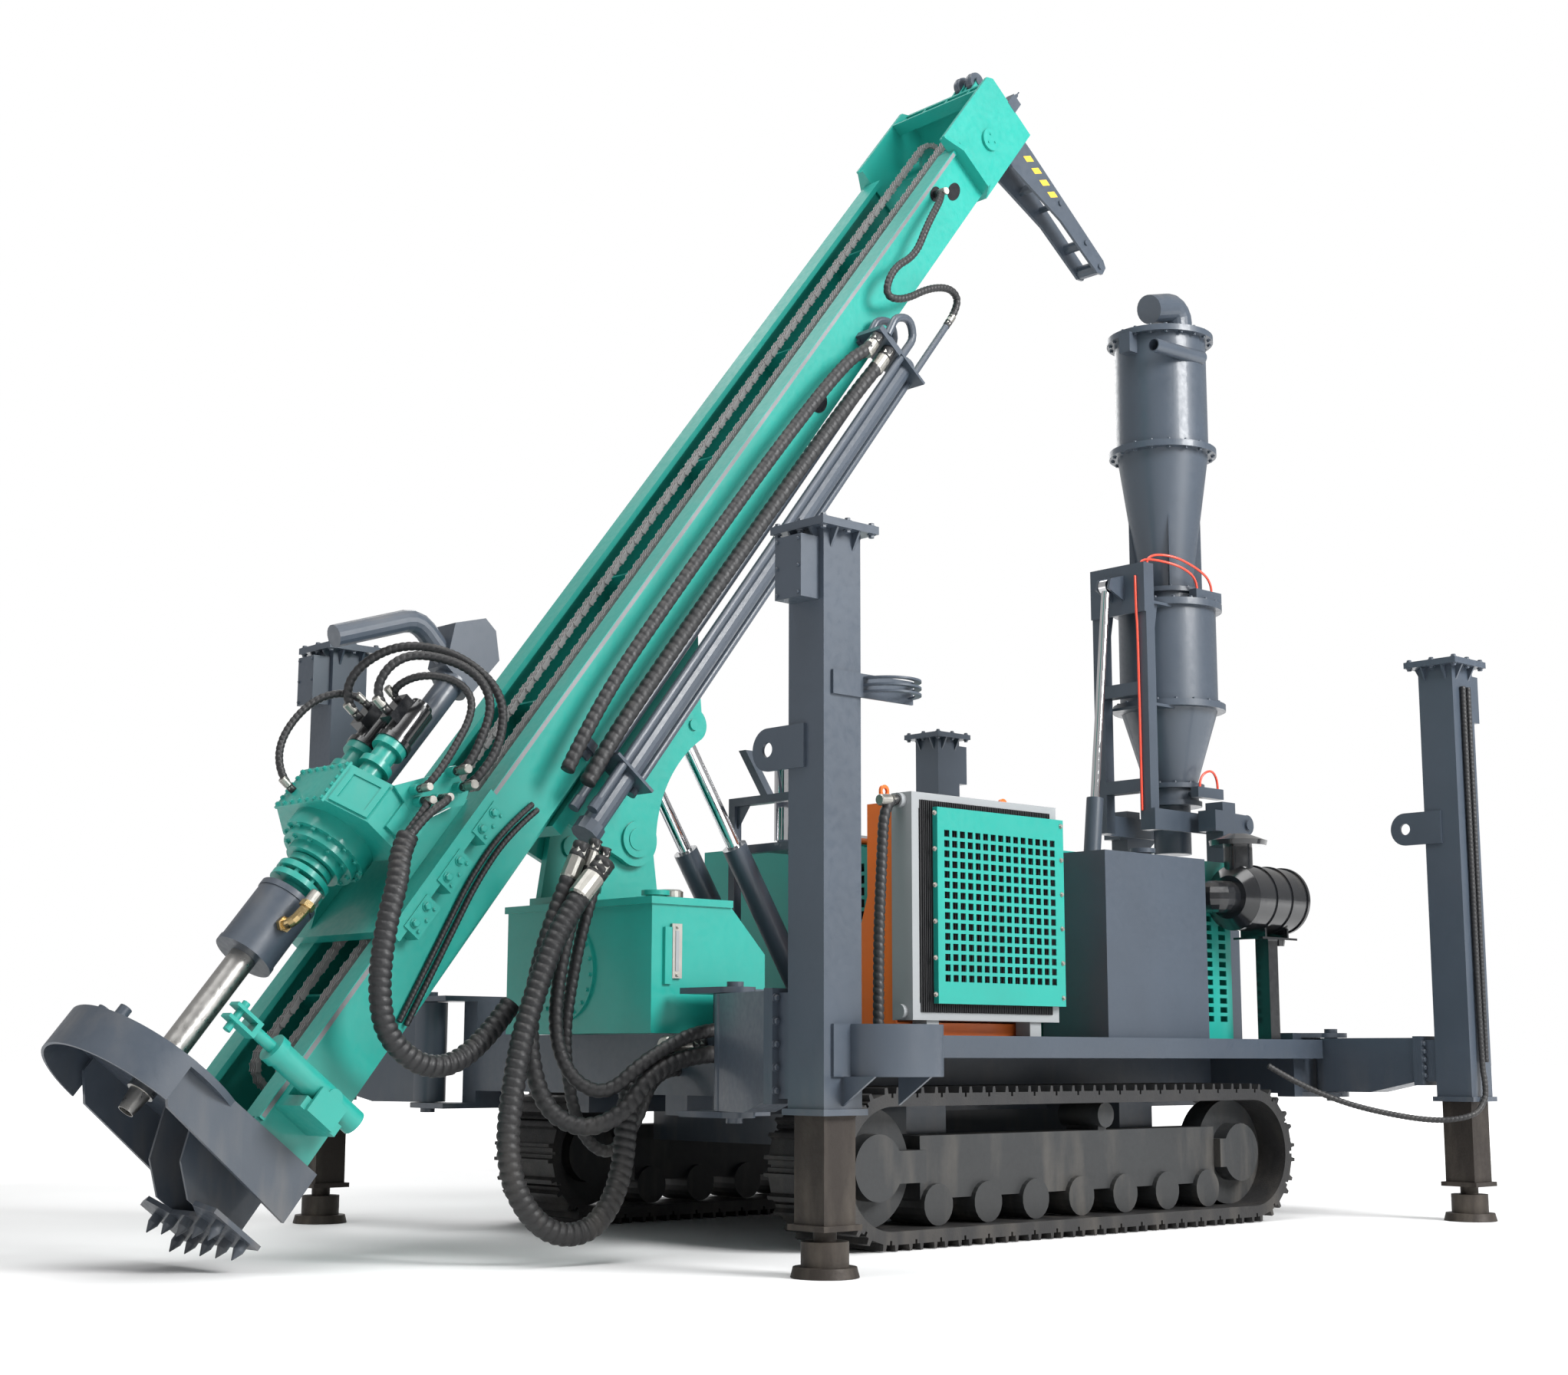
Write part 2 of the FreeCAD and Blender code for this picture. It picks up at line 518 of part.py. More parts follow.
def track_frame(side):
    """Side beam with its sprocket, idler and rollers, as one welded and pinned unit."""
    def across(y0, y1):
        return sorted((side * y0, side * y1))

    b0, b1 = across(TRACK_BEAM_Y0, TRACK_BEAM_Y1)
    beam = box(TRACK_BEAM_X0, TRACK_BEAM_X1, b0, b1, TRACK_BEAM_Z0, TRACK_BEAM_Z1)
    bits = [beam]
    for x, reach in ((-WHEEL_X, TRACK_BEAM_X0), (WHEEL_X, TRACK_BEAM_X1)):
        y0, y1 = across(TRACK_BEAM_Y0 + 40, TRACK_BEAM_Y1 - 40)
        bits.append(rod((x, y0, WHEEL_Z), (x, y1, WHEEL_Z), WHEEL_R))
        yoke0, yoke1 = across(TRACK_BEAM_Y0 - 30, TRACK_BEAM_Y1 + 40)
        x0, x1 = sorted((x, reach))
        bits.append(rod((x, yoke0, WHEEL_Z), (x, yoke1, WHEEL_Z), WHEEL_R * 0.55))
        bits.append(box(x0, x1, yoke0, yoke1, WHEEL_Z - 70, WHEEL_Z + 70))
    step = (TRACK_BEAM_X1 - TRACK_BEAM_X0 - 2 * ROLLER_R) / (ROLLERS - 1)
    low = WHEEL_Z - BELT_IN_R + ROLLER_R + 1.0
    r0, r1 = across(TRACK_BEAM_Y0 - 25, TRACK_BEAM_Y1 + 25)
    for i in range(ROLLERS):
        x = TRACK_BEAM_X0 + ROLLER_R + i * step
        bits.append(bar((x, r0, low), (x, r1, low), ROLLER_R, ROLLER_SIDES))
    top = WHEEL_Z + BELT_IN_R - CARRIER_R - 1.0
    bits.append(rod((CARRIER_X, r0, top), (CARRIER_X, r1, top), CARRIER_R))
    bits.append(box(CARRIER_X - 30, CARRIER_X + 30, b0, b1, TRACK_BEAM_Z1 - 10, top))
    return fuse(bits)


# Jack legs

def swing_arm(side, leg_x, leg_y, pin_x, pin_y, low, high):
    """Hub on the corner pin, box beam that tapers below, and a bolted flange near the leg."""
    seam = leg_y - LEG_TUBE / 2 - FLANGE_OFF
    half = ARM_T / 2
    near = seam - ARM_FLANGE_T
    plan = [(pin_x - half, pin_y), (pin_x + half, pin_y), (leg_x + half, near), (leg_x - half, near)]
    beam = plate_xy([(x, side * y) for x, y in plan], low, high)
    profile = [(pin_y - 1, low), (pin_y + 0.5 * (near - pin_y), low), (near + 1, low + ARM_RISE),
               (near + 1, high + 1), (pin_y - 1, high + 1)]
    beam = beam.common(plate_yz([(side * y, z) for y, z in profile], pin_x - 2 * LEG_TUBE,
                                pin_x + 2 * LEG_TUBE))
    flange = box(leg_x - ARM_FLANGE_HALF, leg_x + ARM_FLANGE_HALF, *sorted((side * near, side * seam)),
                 low + ARM_RISE - 20, high + 8)
    hub = rod((pin_x, side * pin_y, low), (pin_x, side * pin_y, high), ARM_HUB_R)
    pin_bar = rod((pin_x, side * pin_y, low - 2 * CLEVIS_T), (pin_x, side * pin_y, high + 2 * CLEVIS_T),
                  ARM_PIN_R)
    return fuse([beam, flange, hub, pin_bar])


def outer_leg(side, x, y, face, low, high):
    """Square outer tube with its bolted cap plates, foot flange, gussets, ear and arm bracket."""
    seam = y - LEG_TUBE / 2 - FLANGE_OFF + GAP
    stub = box(x - ARM_T / 2, x + ARM_T / 2, *sorted((side * seam, side * (y - LEG_TUBE / 2 + 1))),
               low + ARM_RISE, high - 10)
    flange = box(x - ARM_FLANGE_HALF, x + ARM_FLANGE_HALF, *sorted((side * seam,
                                                                    side * (seam + ARM_FLANGE_T))),
                 low + ARM_RISE - 20, high + 8)
    y = side * y
    half = LEG_CAP / 2
    edge = LEG_TUBE / 2
    bits = [square_tube(x, y, LEG_BOTTOM, LEG_TOP - 2 * LEG_CAP_T, LEG_TUBE, LEG_WALL), stub, flange]
    bits.append(box(x - half, x + half, y - half, y + half, LEG_TOP - 2 * LEG_CAP_T, LEG_TOP))
    lip = edge + 16
    foot = box(x - lip, x + lip, y - lip, y + lip, LEG_BOTTOM, LEG_BOTTOM + 24)
    inner = edge - LEG_WALL
    bits.append(foot.cut(box(x - inner, x + inner, y - inner, y + inner, LEG_BOTTOM, LEG_BOTTOM + 24)))
    top = LEG_TOP - 2 * LEG_CAP_T
    for dx in (-1, 1):
        for dy in (-1, 1):
            gx = sorted((x + dx * (edge - 20), x + dx * half * 0.92))
            bits.append(plate_xz([(gx[0], top), (gx[1], top),
                                  (x + dx * (edge - 20), top - 110)], y + dy * 60 - 5, y + dy * 60 + 5))
            bits.append(plate_yz([(y + dy * (edge - 20), top), (y + dy * half * 0.92, top),
                                  (y + dy * (edge - 20), top - 110)], x + dx * 60 - 5, x + dx * 60 + 5))
    cover = sorted((x + face * (edge - 2), x + face * (edge + COVER_OUT)))
    bits.append(box(cover[0], cover[1], y - 75, y + 75, top - COVER_LOW, top - COVER_HIGH))
    bits.append(leg_ear(side, x, y))
    return fuse(bits)


def leg_ear(side, x, y):
    """Flat lifting ear on a leg's front face, with its hole beside the leg."""
    x1 = x - LEG_TUBE / 2 + 1
    x0 = x1 - EAR_T
    hole_y = y - side * (LEG_TUBE / 2 + EAR_OUT)
    plate = box(x0, x1, *sorted((hole_y, y)), EAR_Z - EAR_R, EAR_Z + EAR_R)
    plate = plate.fuse(rod((x0, hole_y, EAR_Z), (x1, hole_y, EAR_Z), EAR_R))
    return plate.cut(rod((x0 - 1, hole_y, EAR_Z), (x1 + 1, hole_y, EAR_Z), EAR_HOLE_R))


def rod_rack(side, x, y):
    """Half-round tray and a holder of three flat rings beside one leg, for a standing tool."""
    wall_y = side * (y + LEG_TUBE / 2 + GAP)
    xc = x + TRAY_OFF
    out = wall_y + side * TRAY_R
    near = sorted((wall_y, out))
    half_plane = box(xc - TRAY_R, xc + TRAY_R, near[0], near[1], TRAY_Z0, TRAY_Z1)
    tray = tube((xc, wall_y, TRAY_Z0), (xc, wall_y, TRAY_Z1), TRAY_R, TRAY_R - 8)
    floor = rod((xc, wall_y, TRAY_Z0), (xc, wall_y, TRAY_Z0 + 8), TRAY_R - 2)
    tray = tray.fuse(floor).common(half_plane)
    back = sorted((wall_y, wall_y + side * 12))
    bits = [tray, box(x - 60, xc + TRAY_R, back[0], back[1], TRAY_Z0, TRAY_Z1)]
    for gx in (x, xc + 60):
        bits.append(plate_yz([(wall_y, TRAY_Z0 + 1), (out - side * 40, TRAY_Z0 + 1),
                              (wall_y, TRAY_Z0 - 110)], gx - 6, gx + 6))
    for z in RING_Z:
        ring = tube((xc, wall_y, z), (xc, wall_y, z + 8), RING_R, RING_R - 26)
        bits.append(ring.common(box(xc - RING_R, xc + RING_R, near[0], near[1], z, z + 8)))
    bits.append(box(x - 60, xc + RING_R, back[0], back[1], RING_Z[0] - 20, RING_Z[-1] + 20))
    return bits


def inner_leg(side, x, y):
    """Sliding inner tube with its flange, spindle, cup and round foot pad."""
    y = side * y
    bits = [square_tube(x, y, SLEEVE_Z0, SLEEVE_Z0 + SLEEVE_LENGTH, SLEEVE, 12.0)]
    half = SLEEVE / 2 + 18
    bits.append(box(x - half, x + half, y - half, y + half, SLEEVE_Z0 - 18, SLEEVE_Z0 + 4))
    bits.append(rod((x, y, CUP_TOP - 8), (x, y, SLEEVE_Z0), 45.0))
    bits.append(rod((x, y, PAD_T - 4), (x, y, CUP_TOP), CUP_R))
    bits.append(cone((x, y, 0), (x, y, PAD_T), PAD_R, PAD_R - 10))
    return fuse(bits)


# Tower and luff

def tower():
    """Two upright cheeks with round heads, tied by boxes, that carry the mast's hub."""
    bits = []
    base = DECK_TOP
    for side in (-1, 1):
        y0, y1 = sorted((side * TOWER_Y0, side * TOWER_Y1))
        outline = [(TOWER_X0, base), (TOWER_X1, base), (TOWER_X1 - 60, base + 350),
                   (HUB_X + HUB_R, HUB_Z), (HUB_X - HUB_R, HUB_Z), (TOWER_X0 + 30, base + 350)]
        cheek = plate_xz(outline, y0, y1)
        bits.append(cheek.fuse(rod((HUB_X, y0, HUB_Z), (HUB_X, y1, HUB_Z), HUB_R)))
    bits.append(box(TOWER_X0 + 40, TOWER_X0 + 80, -TOWER_Y1, TOWER_Y1, base, HUB_Z - 250))
    bits.append(box(TOWER_X1 - 110, TOWER_X1 - 80, -TOWER_Y1, TOWER_Y1, base, base + 300))
    shape = fuse(bits)
    bore = rod((HUB_X, -TOWER_Y1 - 1, HUB_Z), (HUB_X, TOWER_Y1 + 1, HUB_Z), HUB_PIN_R + PIN_FIT)
    feet = []
    for side in (-1, 1):
        for dy in (-1, 1):
            y = side * LUFF_Y + dy * 48
            feet.append(plate_xz([(LUFF_BASE_X - 120, base), (LUFF_BASE_X + 120, base),
                                  (LUFF_BASE_X + 55, LUFF_BASE_Z + 45), (LUFF_BASE_X - 55,
                                                                         LUFF_BASE_Z + 45)],
                                 y - 9, y + 9))
        feet.append(rod((LUFF_BASE_X, side * LUFF_Y - 62, LUFF_BASE_Z),
                        (LUFF_BASE_X, side * LUFF_Y + 62, LUFF_BASE_Z), 24.0))
    return shape.cut(bore), fuse(feet)


def slide_frame():
    """Bed under the mast with two curved cheeks that reach the hub and the luff pins."""
    back = -MAST_DEPTH - GAP
    slab_t = -MAST_DEPTH - GUIDE_T - CLEAR
    bits = [box(BED_S0, BED_S1, -GUIDE_IN + CLEAR, GUIDE_IN - CLEAR, slab_t - 1, back)]
    bits.append(box(BED_S0, BED_S1, -CHEEK_Y1, CHEEK_Y1, slab_t - BED_T, slab_t))
    hub_s, hub_t = hub_on_mast()
    for side in (-1, 1):
        y0, y1 = sorted((side * CHEEK_Y0, side * CHEEK_Y1))
        bits.append(cheek_plate(hub_s, hub_t, slab_t - 10, y0, y1))
        bits.append(rod((LUFF_S, side * (CHEEK_Y1 + 12), LUFF_T), (LUFF_S, side * (LUFF_Y + 42), LUFF_T),
                        26.0))
        bits.append(rod((hub_s, side * (CHEEK_Y1 + 18), hub_t), (hub_s, side * (TOWER_Y0 - 14), hub_t),
                        HUB_PIN_R))
        bits.append(rod((hub_s, side * (CHEEK_Y1 + 14), hub_t), (hub_s, side * CHEEK_Y0, hub_t),
                        HUB_R * 0.66))
    return on_mast(fuse(bits))


def hub_on_mast():
    """The hub's place in mast measure."""
    local = MAST_PLACE.inverse().multVec(V(HUB_X, 0, HUB_Z))
    return local.x, local.z


def cheek_plate(hub_s, hub_t, top, y0, y1):
    """One cheek: straight under the bed, an arc from the hub's boss to the luff boss."""
    hub_r, boss_r = HUB_R - 4, 82.0
    a = V(hub_s - 210, y0, top)
    b = V(hub_s - hub_r, y0, hub_t)
    c = V(hub_s + hub_r * 0.8, y0, hub_t - hub_r * 0.6)
    d = V(LUFF_S - boss_r * 0.2, y0, LUFF_T - boss_r * 0.98)
    e = V(LUFF_S + boss_r, y0, LUFF_T)
    f = V(BED_S1 - 60, y0, top)
    curve = V((c.x + d.x) / 2 - 10, y0, (c.z + d.z) / 2 + 62)
    edges = [
        Part.LineSegment(a, b).toShape(),
        Part.Arc(b, V(hub_s, y0, hub_t - hub_r), c).toShape(),
        Part.Arc(c, curve, d).toShape(),
        Part.Arc(d, V(LUFF_S + boss_r * 0.72, y0, LUFF_T - boss_r * 0.69), e).toShape(),
        Part.Arc(e, V((e.x + f.x) / 2 - 30, y0, (e.z + f.z) / 2 - 20), f).toShape(),
        Part.LineSegment(f, a).toShape(),
    ]
    return Part.Face(Part.Wire(edges)).extrude(V(0, y1 - y0, 0))


def luff_line():
    """Unit direction from the luff cylinders' base pins to their rod pins."""
    top = MAST_PLACE.multVec(V(LUFF_S, 0, LUFF_T))
    base = V(LUFF_BASE_X, 0, LUFF_BASE_Z)
    return base, top, (top - base).normalize()


def luff_cylinders():
    """Two barrels with base eyes, and two rods with rod eyes."""
    base, top, way = luff_line()
    barrels, rods = [], []
    for side in (-1, 1):
        y = V(0, side * LUFF_Y, 0)
        b0, b1 = base + way * 95 + y, base + way * LUFF_BARREL + y
        barrel = rod(tuple(b0), tuple(b1), LUFF_BARREL_R)
        eye = rod((base.x, side * LUFF_Y - 36, base.z), (base.x, side * LUFF_Y + 36, base.z), 55.0)
        barrel = barrel.fuse(eye).fuse(rod(tuple(base + way * 30 + y), tuple(base + way * 96 + y), 34.0))
        barrel = barrel.cut(rod((base.x, side * LUFF_Y - 40, base.z), (base.x, side * LUFF_Y + 40, base.z),
                                24.0 + PIN_FIT))
        bore = rod(tuple(base + way * 130 + y), tuple(base + way * (LUFF_BARREL + 1) + y),
                   LUFF_ROD_R + PIN_FIT)
        barrels.append(barrel.cut(bore))
        stem = rod(tuple(base + way * 200 + y), tuple(top - way * 40 + y), LUFF_ROD_R)
        rod_eye = rod((top.x, side * LUFF_Y - 32, top.z), (top.x, side * LUFF_Y + 32, top.z), LUFF_EYE_R)
        rods.append(stem.fuse(rod_eye))
    return Part.makeCompound(barrels), Part.makeCompound(rods)


# Mast

def mast_beam():
    """Open-fronted channel with front rail flanges, back guides and inner cross plates."""
    half, depth = MAST_HALF, MAST_DEPTH
    outer = box(MAST_S0, MAST_S1, -half, half, -depth, 0)
    inside = box(MAST_S0, MAST_S1, -half + MAST_T, half - MAST_T, -depth + MAST_T, 1)
    bits = [outer.cut(inside)]
    for side in (-1, 1):
        y0, y1 = sorted((side * FLANGE_IN, side * FLANGE_OUT))
        bits.append(box(MAST_S0 + 20, MAST_S1, y0, y1, -FLANGE_T, 0))
        g0, g1 = sorted((side * GUIDE_IN, side * GUIDE_OUT))
        bits.append(box(GUIDE_S0, GUIDE_S1, g0, g1, -depth - GUIDE_T, -depth))
    rib_step = 860.0
    s = MAST_S0 + 700.0
    while s < MAST_S1 - 200.0:
        bits.append(box(s, s + 12, -half + 5, half - 5, -depth + 5, CHAIN_AXIS_T + CHAIN_R - 60))
        s += rib_step
    beam = fuse(bits)
    run0, run1 = CHAIN_LOW_S, CHAIN_TOP_S
    for side in (-1, 1):
        y0, y1 = side * CHAIN_Y - CHAIN_W / 2 - 8, side * CHAIN_Y + CHAIN_W / 2 + 8
        slot_t = CHAIN_AXIS_T - CHAIN_R
        beam = beam.cut(box(run0, run1, y0, y1, slot_t - CHAIN_T / 2 - 8, slot_t + CHAIN_T / 2 + 8))
    return on_mast(beam)


def mast_crown():
    """Head of the mast: side cheeks, top plate, base flange, front ribs, sprocket pair and pulleys."""
    bits = []
    for side in (-1, 1):
        y0, y1 = sorted((side * CROWN_Y0, side * CROWN_Y1))
        outline = [(MAST_S1 + GAP, CROWN_BACK), (CROWN_S1, CROWN_BACK), (CROWN_S1, CROWN_FRONT - 35),
                   (CROWN_S1 - 35, CROWN_FRONT), (MAST_S1 + GAP, CROWN_FRONT)]
        bits.append(plate_xz(outline, y0, y1))
        boss0, boss1 = sorted((side * CROWN_Y1, side * (CROWN_Y1 + 14)))
        bits.append(rod((CHAIN_TOP_S, boss0 - 1, CHAIN_AXIS_T), (CHAIN_TOP_S, boss1 + 1, CHAIN_AXIS_T),
                        62.0))
    top = box(CROWN_S1 - 18, CROWN_S1, -CROWN_Y1, CROWN_Y1, CROWN_BACK, CROWN_FRONT - 35)
    bits.append(top.cut(box(CROWN_S1 - 19, CROWN_S1 + 1, JIB_Y0 - CLEAR, JIB_Y1 + CLEAR, CROWN_BACK - 1,
                            -130)))
    bits.append(box(FRONT_BAR_S, FRONT_BAR_S + 14, -CROWN_Y1, CROWN_Y1, CROWN_FRONT - 70, CROWN_FRONT))
    for y in (-170.0, 0.0, 170.0):
        bits.append(box(FRONT_BAR_S, CROWN_S1 - 17, y - 6, y + 6, CROWN_FRONT - 60, CROWN_FRONT - 36))
    wide, bevel = CROWN_LIP_HALF, 60.0
    lip_plan = [(-wide, CROWN_BACK + bevel), (-wide + bevel, CROWN_BACK), (wide - bevel, CROWN_BACK),
                (wide, CROWN_BACK + bevel), (wide, CROWN_FRONT - 60 - bevel), (wide - bevel,
                                                                               CROWN_FRONT - 10),
                (-wide + bevel, CROWN_FRONT - 10), (-wide, CROWN_FRONT - 60 - bevel)]
    lip = plate_yz(lip_plan, MAST_S1 + GAP, MAST_S1 + 30)
    mouth = box(MAST_S1 - 1, MAST_S1 + 31, -MAST_HALF + 30, MAST_HALF - 30, -MAST_DEPTH + 30, CROWN_FRONT)
    bits.append(lip.cut(mouth))
    bits.append(rod((CHAIN_TOP_S, -CROWN_Y1, CHAIN_AXIS_T), (CHAIN_TOP_S, CROWN_Y1, CHAIN_AXIS_T), 36.0))
    for side in (-1, 1):
        y = side * CHAIN_Y
        bits.append(rod((CHAIN_TOP_S, y - 12, CHAIN_AXIS_T), (CHAIN_TOP_S, y + 12, CHAIN_AXIS_T),
                        CHAIN_R - CHAIN_T / 2 - 0.5))
    for y in PULLEY_Y:
        for dy in (-34.0, 22.0):
            bits.append(plate_xz([(CROWN_S1 - 1, PULLEY_T - 45), (CROWN_S1 - 1, CROWN_FRONT - 40),
                                  (PULLEY_S + 15, PULLEY_T + 16), (PULLEY_S + 15, PULLEY_T - 16)],
                                 y + dy, y + dy + 12))
        bits.append(bar((PULLEY_S, y - 20, PULLEY_T), (PULLEY_S, y + 20, PULLEY_T), PULLEY_R, ROLLER_SIDES))
        bits.append(bar((PULLEY_S, y - 38, PULLEY_T), (PULLEY_S, y + 38, PULLEY_T), 15.0))
    bits.append(box(CROWN_S1 - 1, CROWN_S1 + 75, -CROWN_Y1, -CROWN_Y1 + 50, -170, -100))
    # jib ears stand inside the cheeks
    for y in (JIB_Y0 - 22, JIB_Y1 + CLEAR):
        bits.append(plate_xz([(JIB_S - 130, CROWN_BACK + 20), (CROWN_S1 - 10, CROWN_BACK + 20),
                              (CROWN_S1 - 10, -180), (JIB_S - 60, -180)], y, y + 16))
    shape = fuse(bits)
    pin = rod((JIB_S, JIB_Y0 - 40, JIB_T0), (JIB_S, JIB_Y1 + 40, JIB_T0), 25.0 + PIN_FIT)
    return on_mast(shape.cut(pin))


def jib():
    """Small hoist jib of two bent plates with rollers between them, on its crown pin."""
    root = JIB_T0
    tip = JIB_T0 - JIB_LENGTH
    outline = [(JIB_S + 80, root + 30), (JIB_S + 85, root - 150), (JIB_S + 78, tip + 20), (JIB_S + 58,
                                                                                           tip - 20),
               (JIB_S + 5, tip - 25), (JIB_S - 25, tip + 10), (JIB_S - 35, root - 560), (JIB_S - 125,
                                                                                         root - 110),
               (JIB_S - 95, root + 40), (JIB_S, root + 75)]
    bits = []
    for y in (JIB_Y0, JIB_Y1 - JIB_PLATE):
        bits.append(plate_xz(outline, y, y + JIB_PLATE))
    for s, t, r in ((JIB_S + 40, tip + 470, 18.0), (JIB_S + 35, tip + 185, 30.0), (JIB_S + 20, tip + 20,
                                                                                   40.0)):
        bits.append(bar((s, JIB_Y0 + 4, t), (s, JIB_Y1 - 4, t), r))
        bits.append(bar((s, JIB_Y0 - 10, t), (s, JIB_Y1 + 10, t), 16.0))
    bits.append(box(JIB_S - 40, JIB_S + 40, JIB_Y0 + 4, JIB_Y1 - 4, root - 330, root - 310))
    bits.append(rod((JIB_S, JIB_Y0 - 34, root), (JIB_S, JIB_Y1 + 34, root), 25.0))
    return on_mast(fuse(bits))


def feed_chains():
    """Two endless feed chains round the crown and foot sprockets."""
    loops = []
    for side in (-1, 1):
        y0, y1 = side * CHAIN_Y - CHAIN_W / 2, side * CHAIN_Y + CHAIN_W / 2
        loops.append(slot_xz(CHAIN_R + CHAIN_T / 2, y0, y1).cut(slot_xz(CHAIN_R - CHAIN_T / 2, y0, y1)))
    return on_mast(Part.makeCompound(loops))


def slot_xz(radius, y0, y1):
    """A solid stadium round both sprocket axes."""
    return fuse([
        box(CHAIN_LOW_S, CHAIN_TOP_S, y0, y1, CHAIN_AXIS_T - radius, CHAIN_AXIS_T + radius),
        rod((CHAIN_LOW_S, y0, CHAIN_AXIS_T), (CHAIN_LOW_S, y1, CHAIN_AXIS_T), radius),
        rod((CHAIN_TOP_S, y0, CHAIN_AXIS_T), (CHAIN_TOP_S, y1, CHAIN_AXIS_T), radius),
    ])


def mast_pipes():
    """Steel hydraulic pipes behind the mast's left edge, with their brackets and top bends."""
    bits = []
    for y, t, r, s0, s1 in PIPE_RUNS:
        bits.append(pipe_run([(s0, y, t), (s1, y, t)], r, r))
        bits.append(bar((s0 - 50, y, t), (s0 + 10, y, t), r * 1.25))
    for y, t, r, s0, s1 in PIPE_RUNS[1:3]:
        hook = [(s1 - 5, y, t), (s1 + 90, y, t), (s1 + 140, y - 12, t + 90), (s1 + 60, y - 12, t + 160),
                (s1 - 60, y - 12, t + 140)]
        bits.append(pipe_run(hook, r, 80.0))
    bits.append(box(3110 + GAP, 3145, -500, -MAST_HALF - GAP, -350, -170))
    for s in PIPE_BRACKET_S:
        bits.append(box(s, s + 14, -500, -MAST_HALF - GAP, -560, -310))
        bits.append(box(s - 40, s + 54, -MAST_HALF - 14, -MAST_HALF - GAP, -290, -190))
        bits.append(box(s, s + 14, -MAST_HALF - 30, -MAST_HALF - GAP, -320, -190))
    return on_mast(fuse(bits))


def hose(points, radius):
    """A hose along its route, in mast measure."""
    return pipe_run(points, radius, HOSE_BEND * radius, HOSE_SIDES)


def mast_hoses():
    """Two guarded hoses down the mast's side, the looped hose at the crown and a thin pair."""
    hoses = [hose(points, radius) for radius, points in MAST_HOSES]
    return on_mast(Part.makeCompound(hoses))


def head_hoses():
    """The motors' hoses: long loop beside the mast, short arcs from the motors to the plate."""
    hoses = [hose(points, radius) for radius, points in HEAD_HOSES]
    return on_mast(Part.makeCompound(hoses))


def deck_hoses():
    """Bundle that hangs in front of the oil tank, and the cooler's hose to the deck."""
    return Part.makeCompound([hose(points, radius) for radius, points in DECK_HOSES])


def leg_hoses():
    """Two hoses down the rear left leg with the sagging loop to the deck."""
    return Part.makeCompound([hose(points, radius) for radius, points in LEG_HOSES])


def air_hoses():
    """Red air lines of the cyclone's gates."""
    return Part.makeCompound([hose(points, radius) for radius, points in AIR_HOSES])


def mast_foot():
    """Table at the mast's foot: bored plate, half-round guard, side plates and spiked shoe."""
    top = MAST_S0 - GAP
    plate = box(top - FOOT_PLATE_T, top, -355, 355, -MAST_DEPTH - 40, 400)
    plate = plate.fuse(rod((top - FOOT_PLATE_T, 0, DRILL_T), (top, 0, DRILL_T), SKIRT_R))
    skirt = tube((top - SKIRT_H, 0, DRILL_T), (top - 1, 0, DRILL_T), SKIRT_R, SKIRT_R - SKIRT_T)
    skirt = skirt.cut(box(top - SKIRT_H - 1, top + 1, -SKIRT_R - 1, SKIRT_R + 1,
                          DRILL_T - SKIRT_R - 1, DRILL_T + 60))
    bits = [plate, skirt]
    for side in (-1, 1):
        y0, y1 = sorted((side * 335, side * 355))
        outline = [(top - 1, -MAST_DEPTH - 40), (top - 1, 420), (top - 90, 420), (top - 185, 330),
                   (top - 225, -MAST_DEPTH - 40)]
        bits.append(plate_xz(outline, y0, y1))
        web0, web1 = sorted((side * 120, side * 134))
        web = [(top - 1, -MAST_DEPTH - 20), (top - 1, 160), (SHOE_S + 90, 60), (SHOE_S - 1, -60),
               (SHOE_S - 1, -MAST_DEPTH - 20)]
        bits.append(plate_xz(web, web0, web1))
        stub_y = side * 90
        bits.append(rod((top - 2, stub_y, DRILL_T + 290), (top + 70, stub_y, DRILL_T + 290), 26.0))
    bits.append(box(SHOE_S, top - 2, -120, 120, -260, -246))
    shoe_plan = [(-300, -345), (300, -345), (300, -100), (190, -60), (110, -140), (-110, -140), (-190, -60),
                 (-300, -100)]
    wire = Part.makePolygon([V(SHOE_S - 20, y, t) for y, t in shoe_plan + shoe_plan[:1]])
    bits.append(Part.Face(wire).extrude(V(20, 0, 0)))
    spikes = spike_places()
    for y, t in spikes:
        bits.append(rod((SHOE_S - 20 - SPIKE_L * 0.45, y, t), (SHOE_S - 18, y, t), SPIKE_R))
        bits.append(cone((SHOE_S - 20 - SPIKE_L * 0.45, y, t), (SHOE_S - 20 - SPIKE_L, y, t), SPIKE_R, 2.0))
    foot = fuse(bits)
    hole = rod((top - 300, 0, DRILL_T), (top + 1, 0, DRILL_T), FOOT_HOLE_R)
    return on_mast(foot.cut(hole))


def spike_places():
    """Two rows of spikes under the shoe: across and front distance."""
    return [(y, t) for y in (-250, -125, 0, 125, 250) for t in (-300.0, -170.0)]


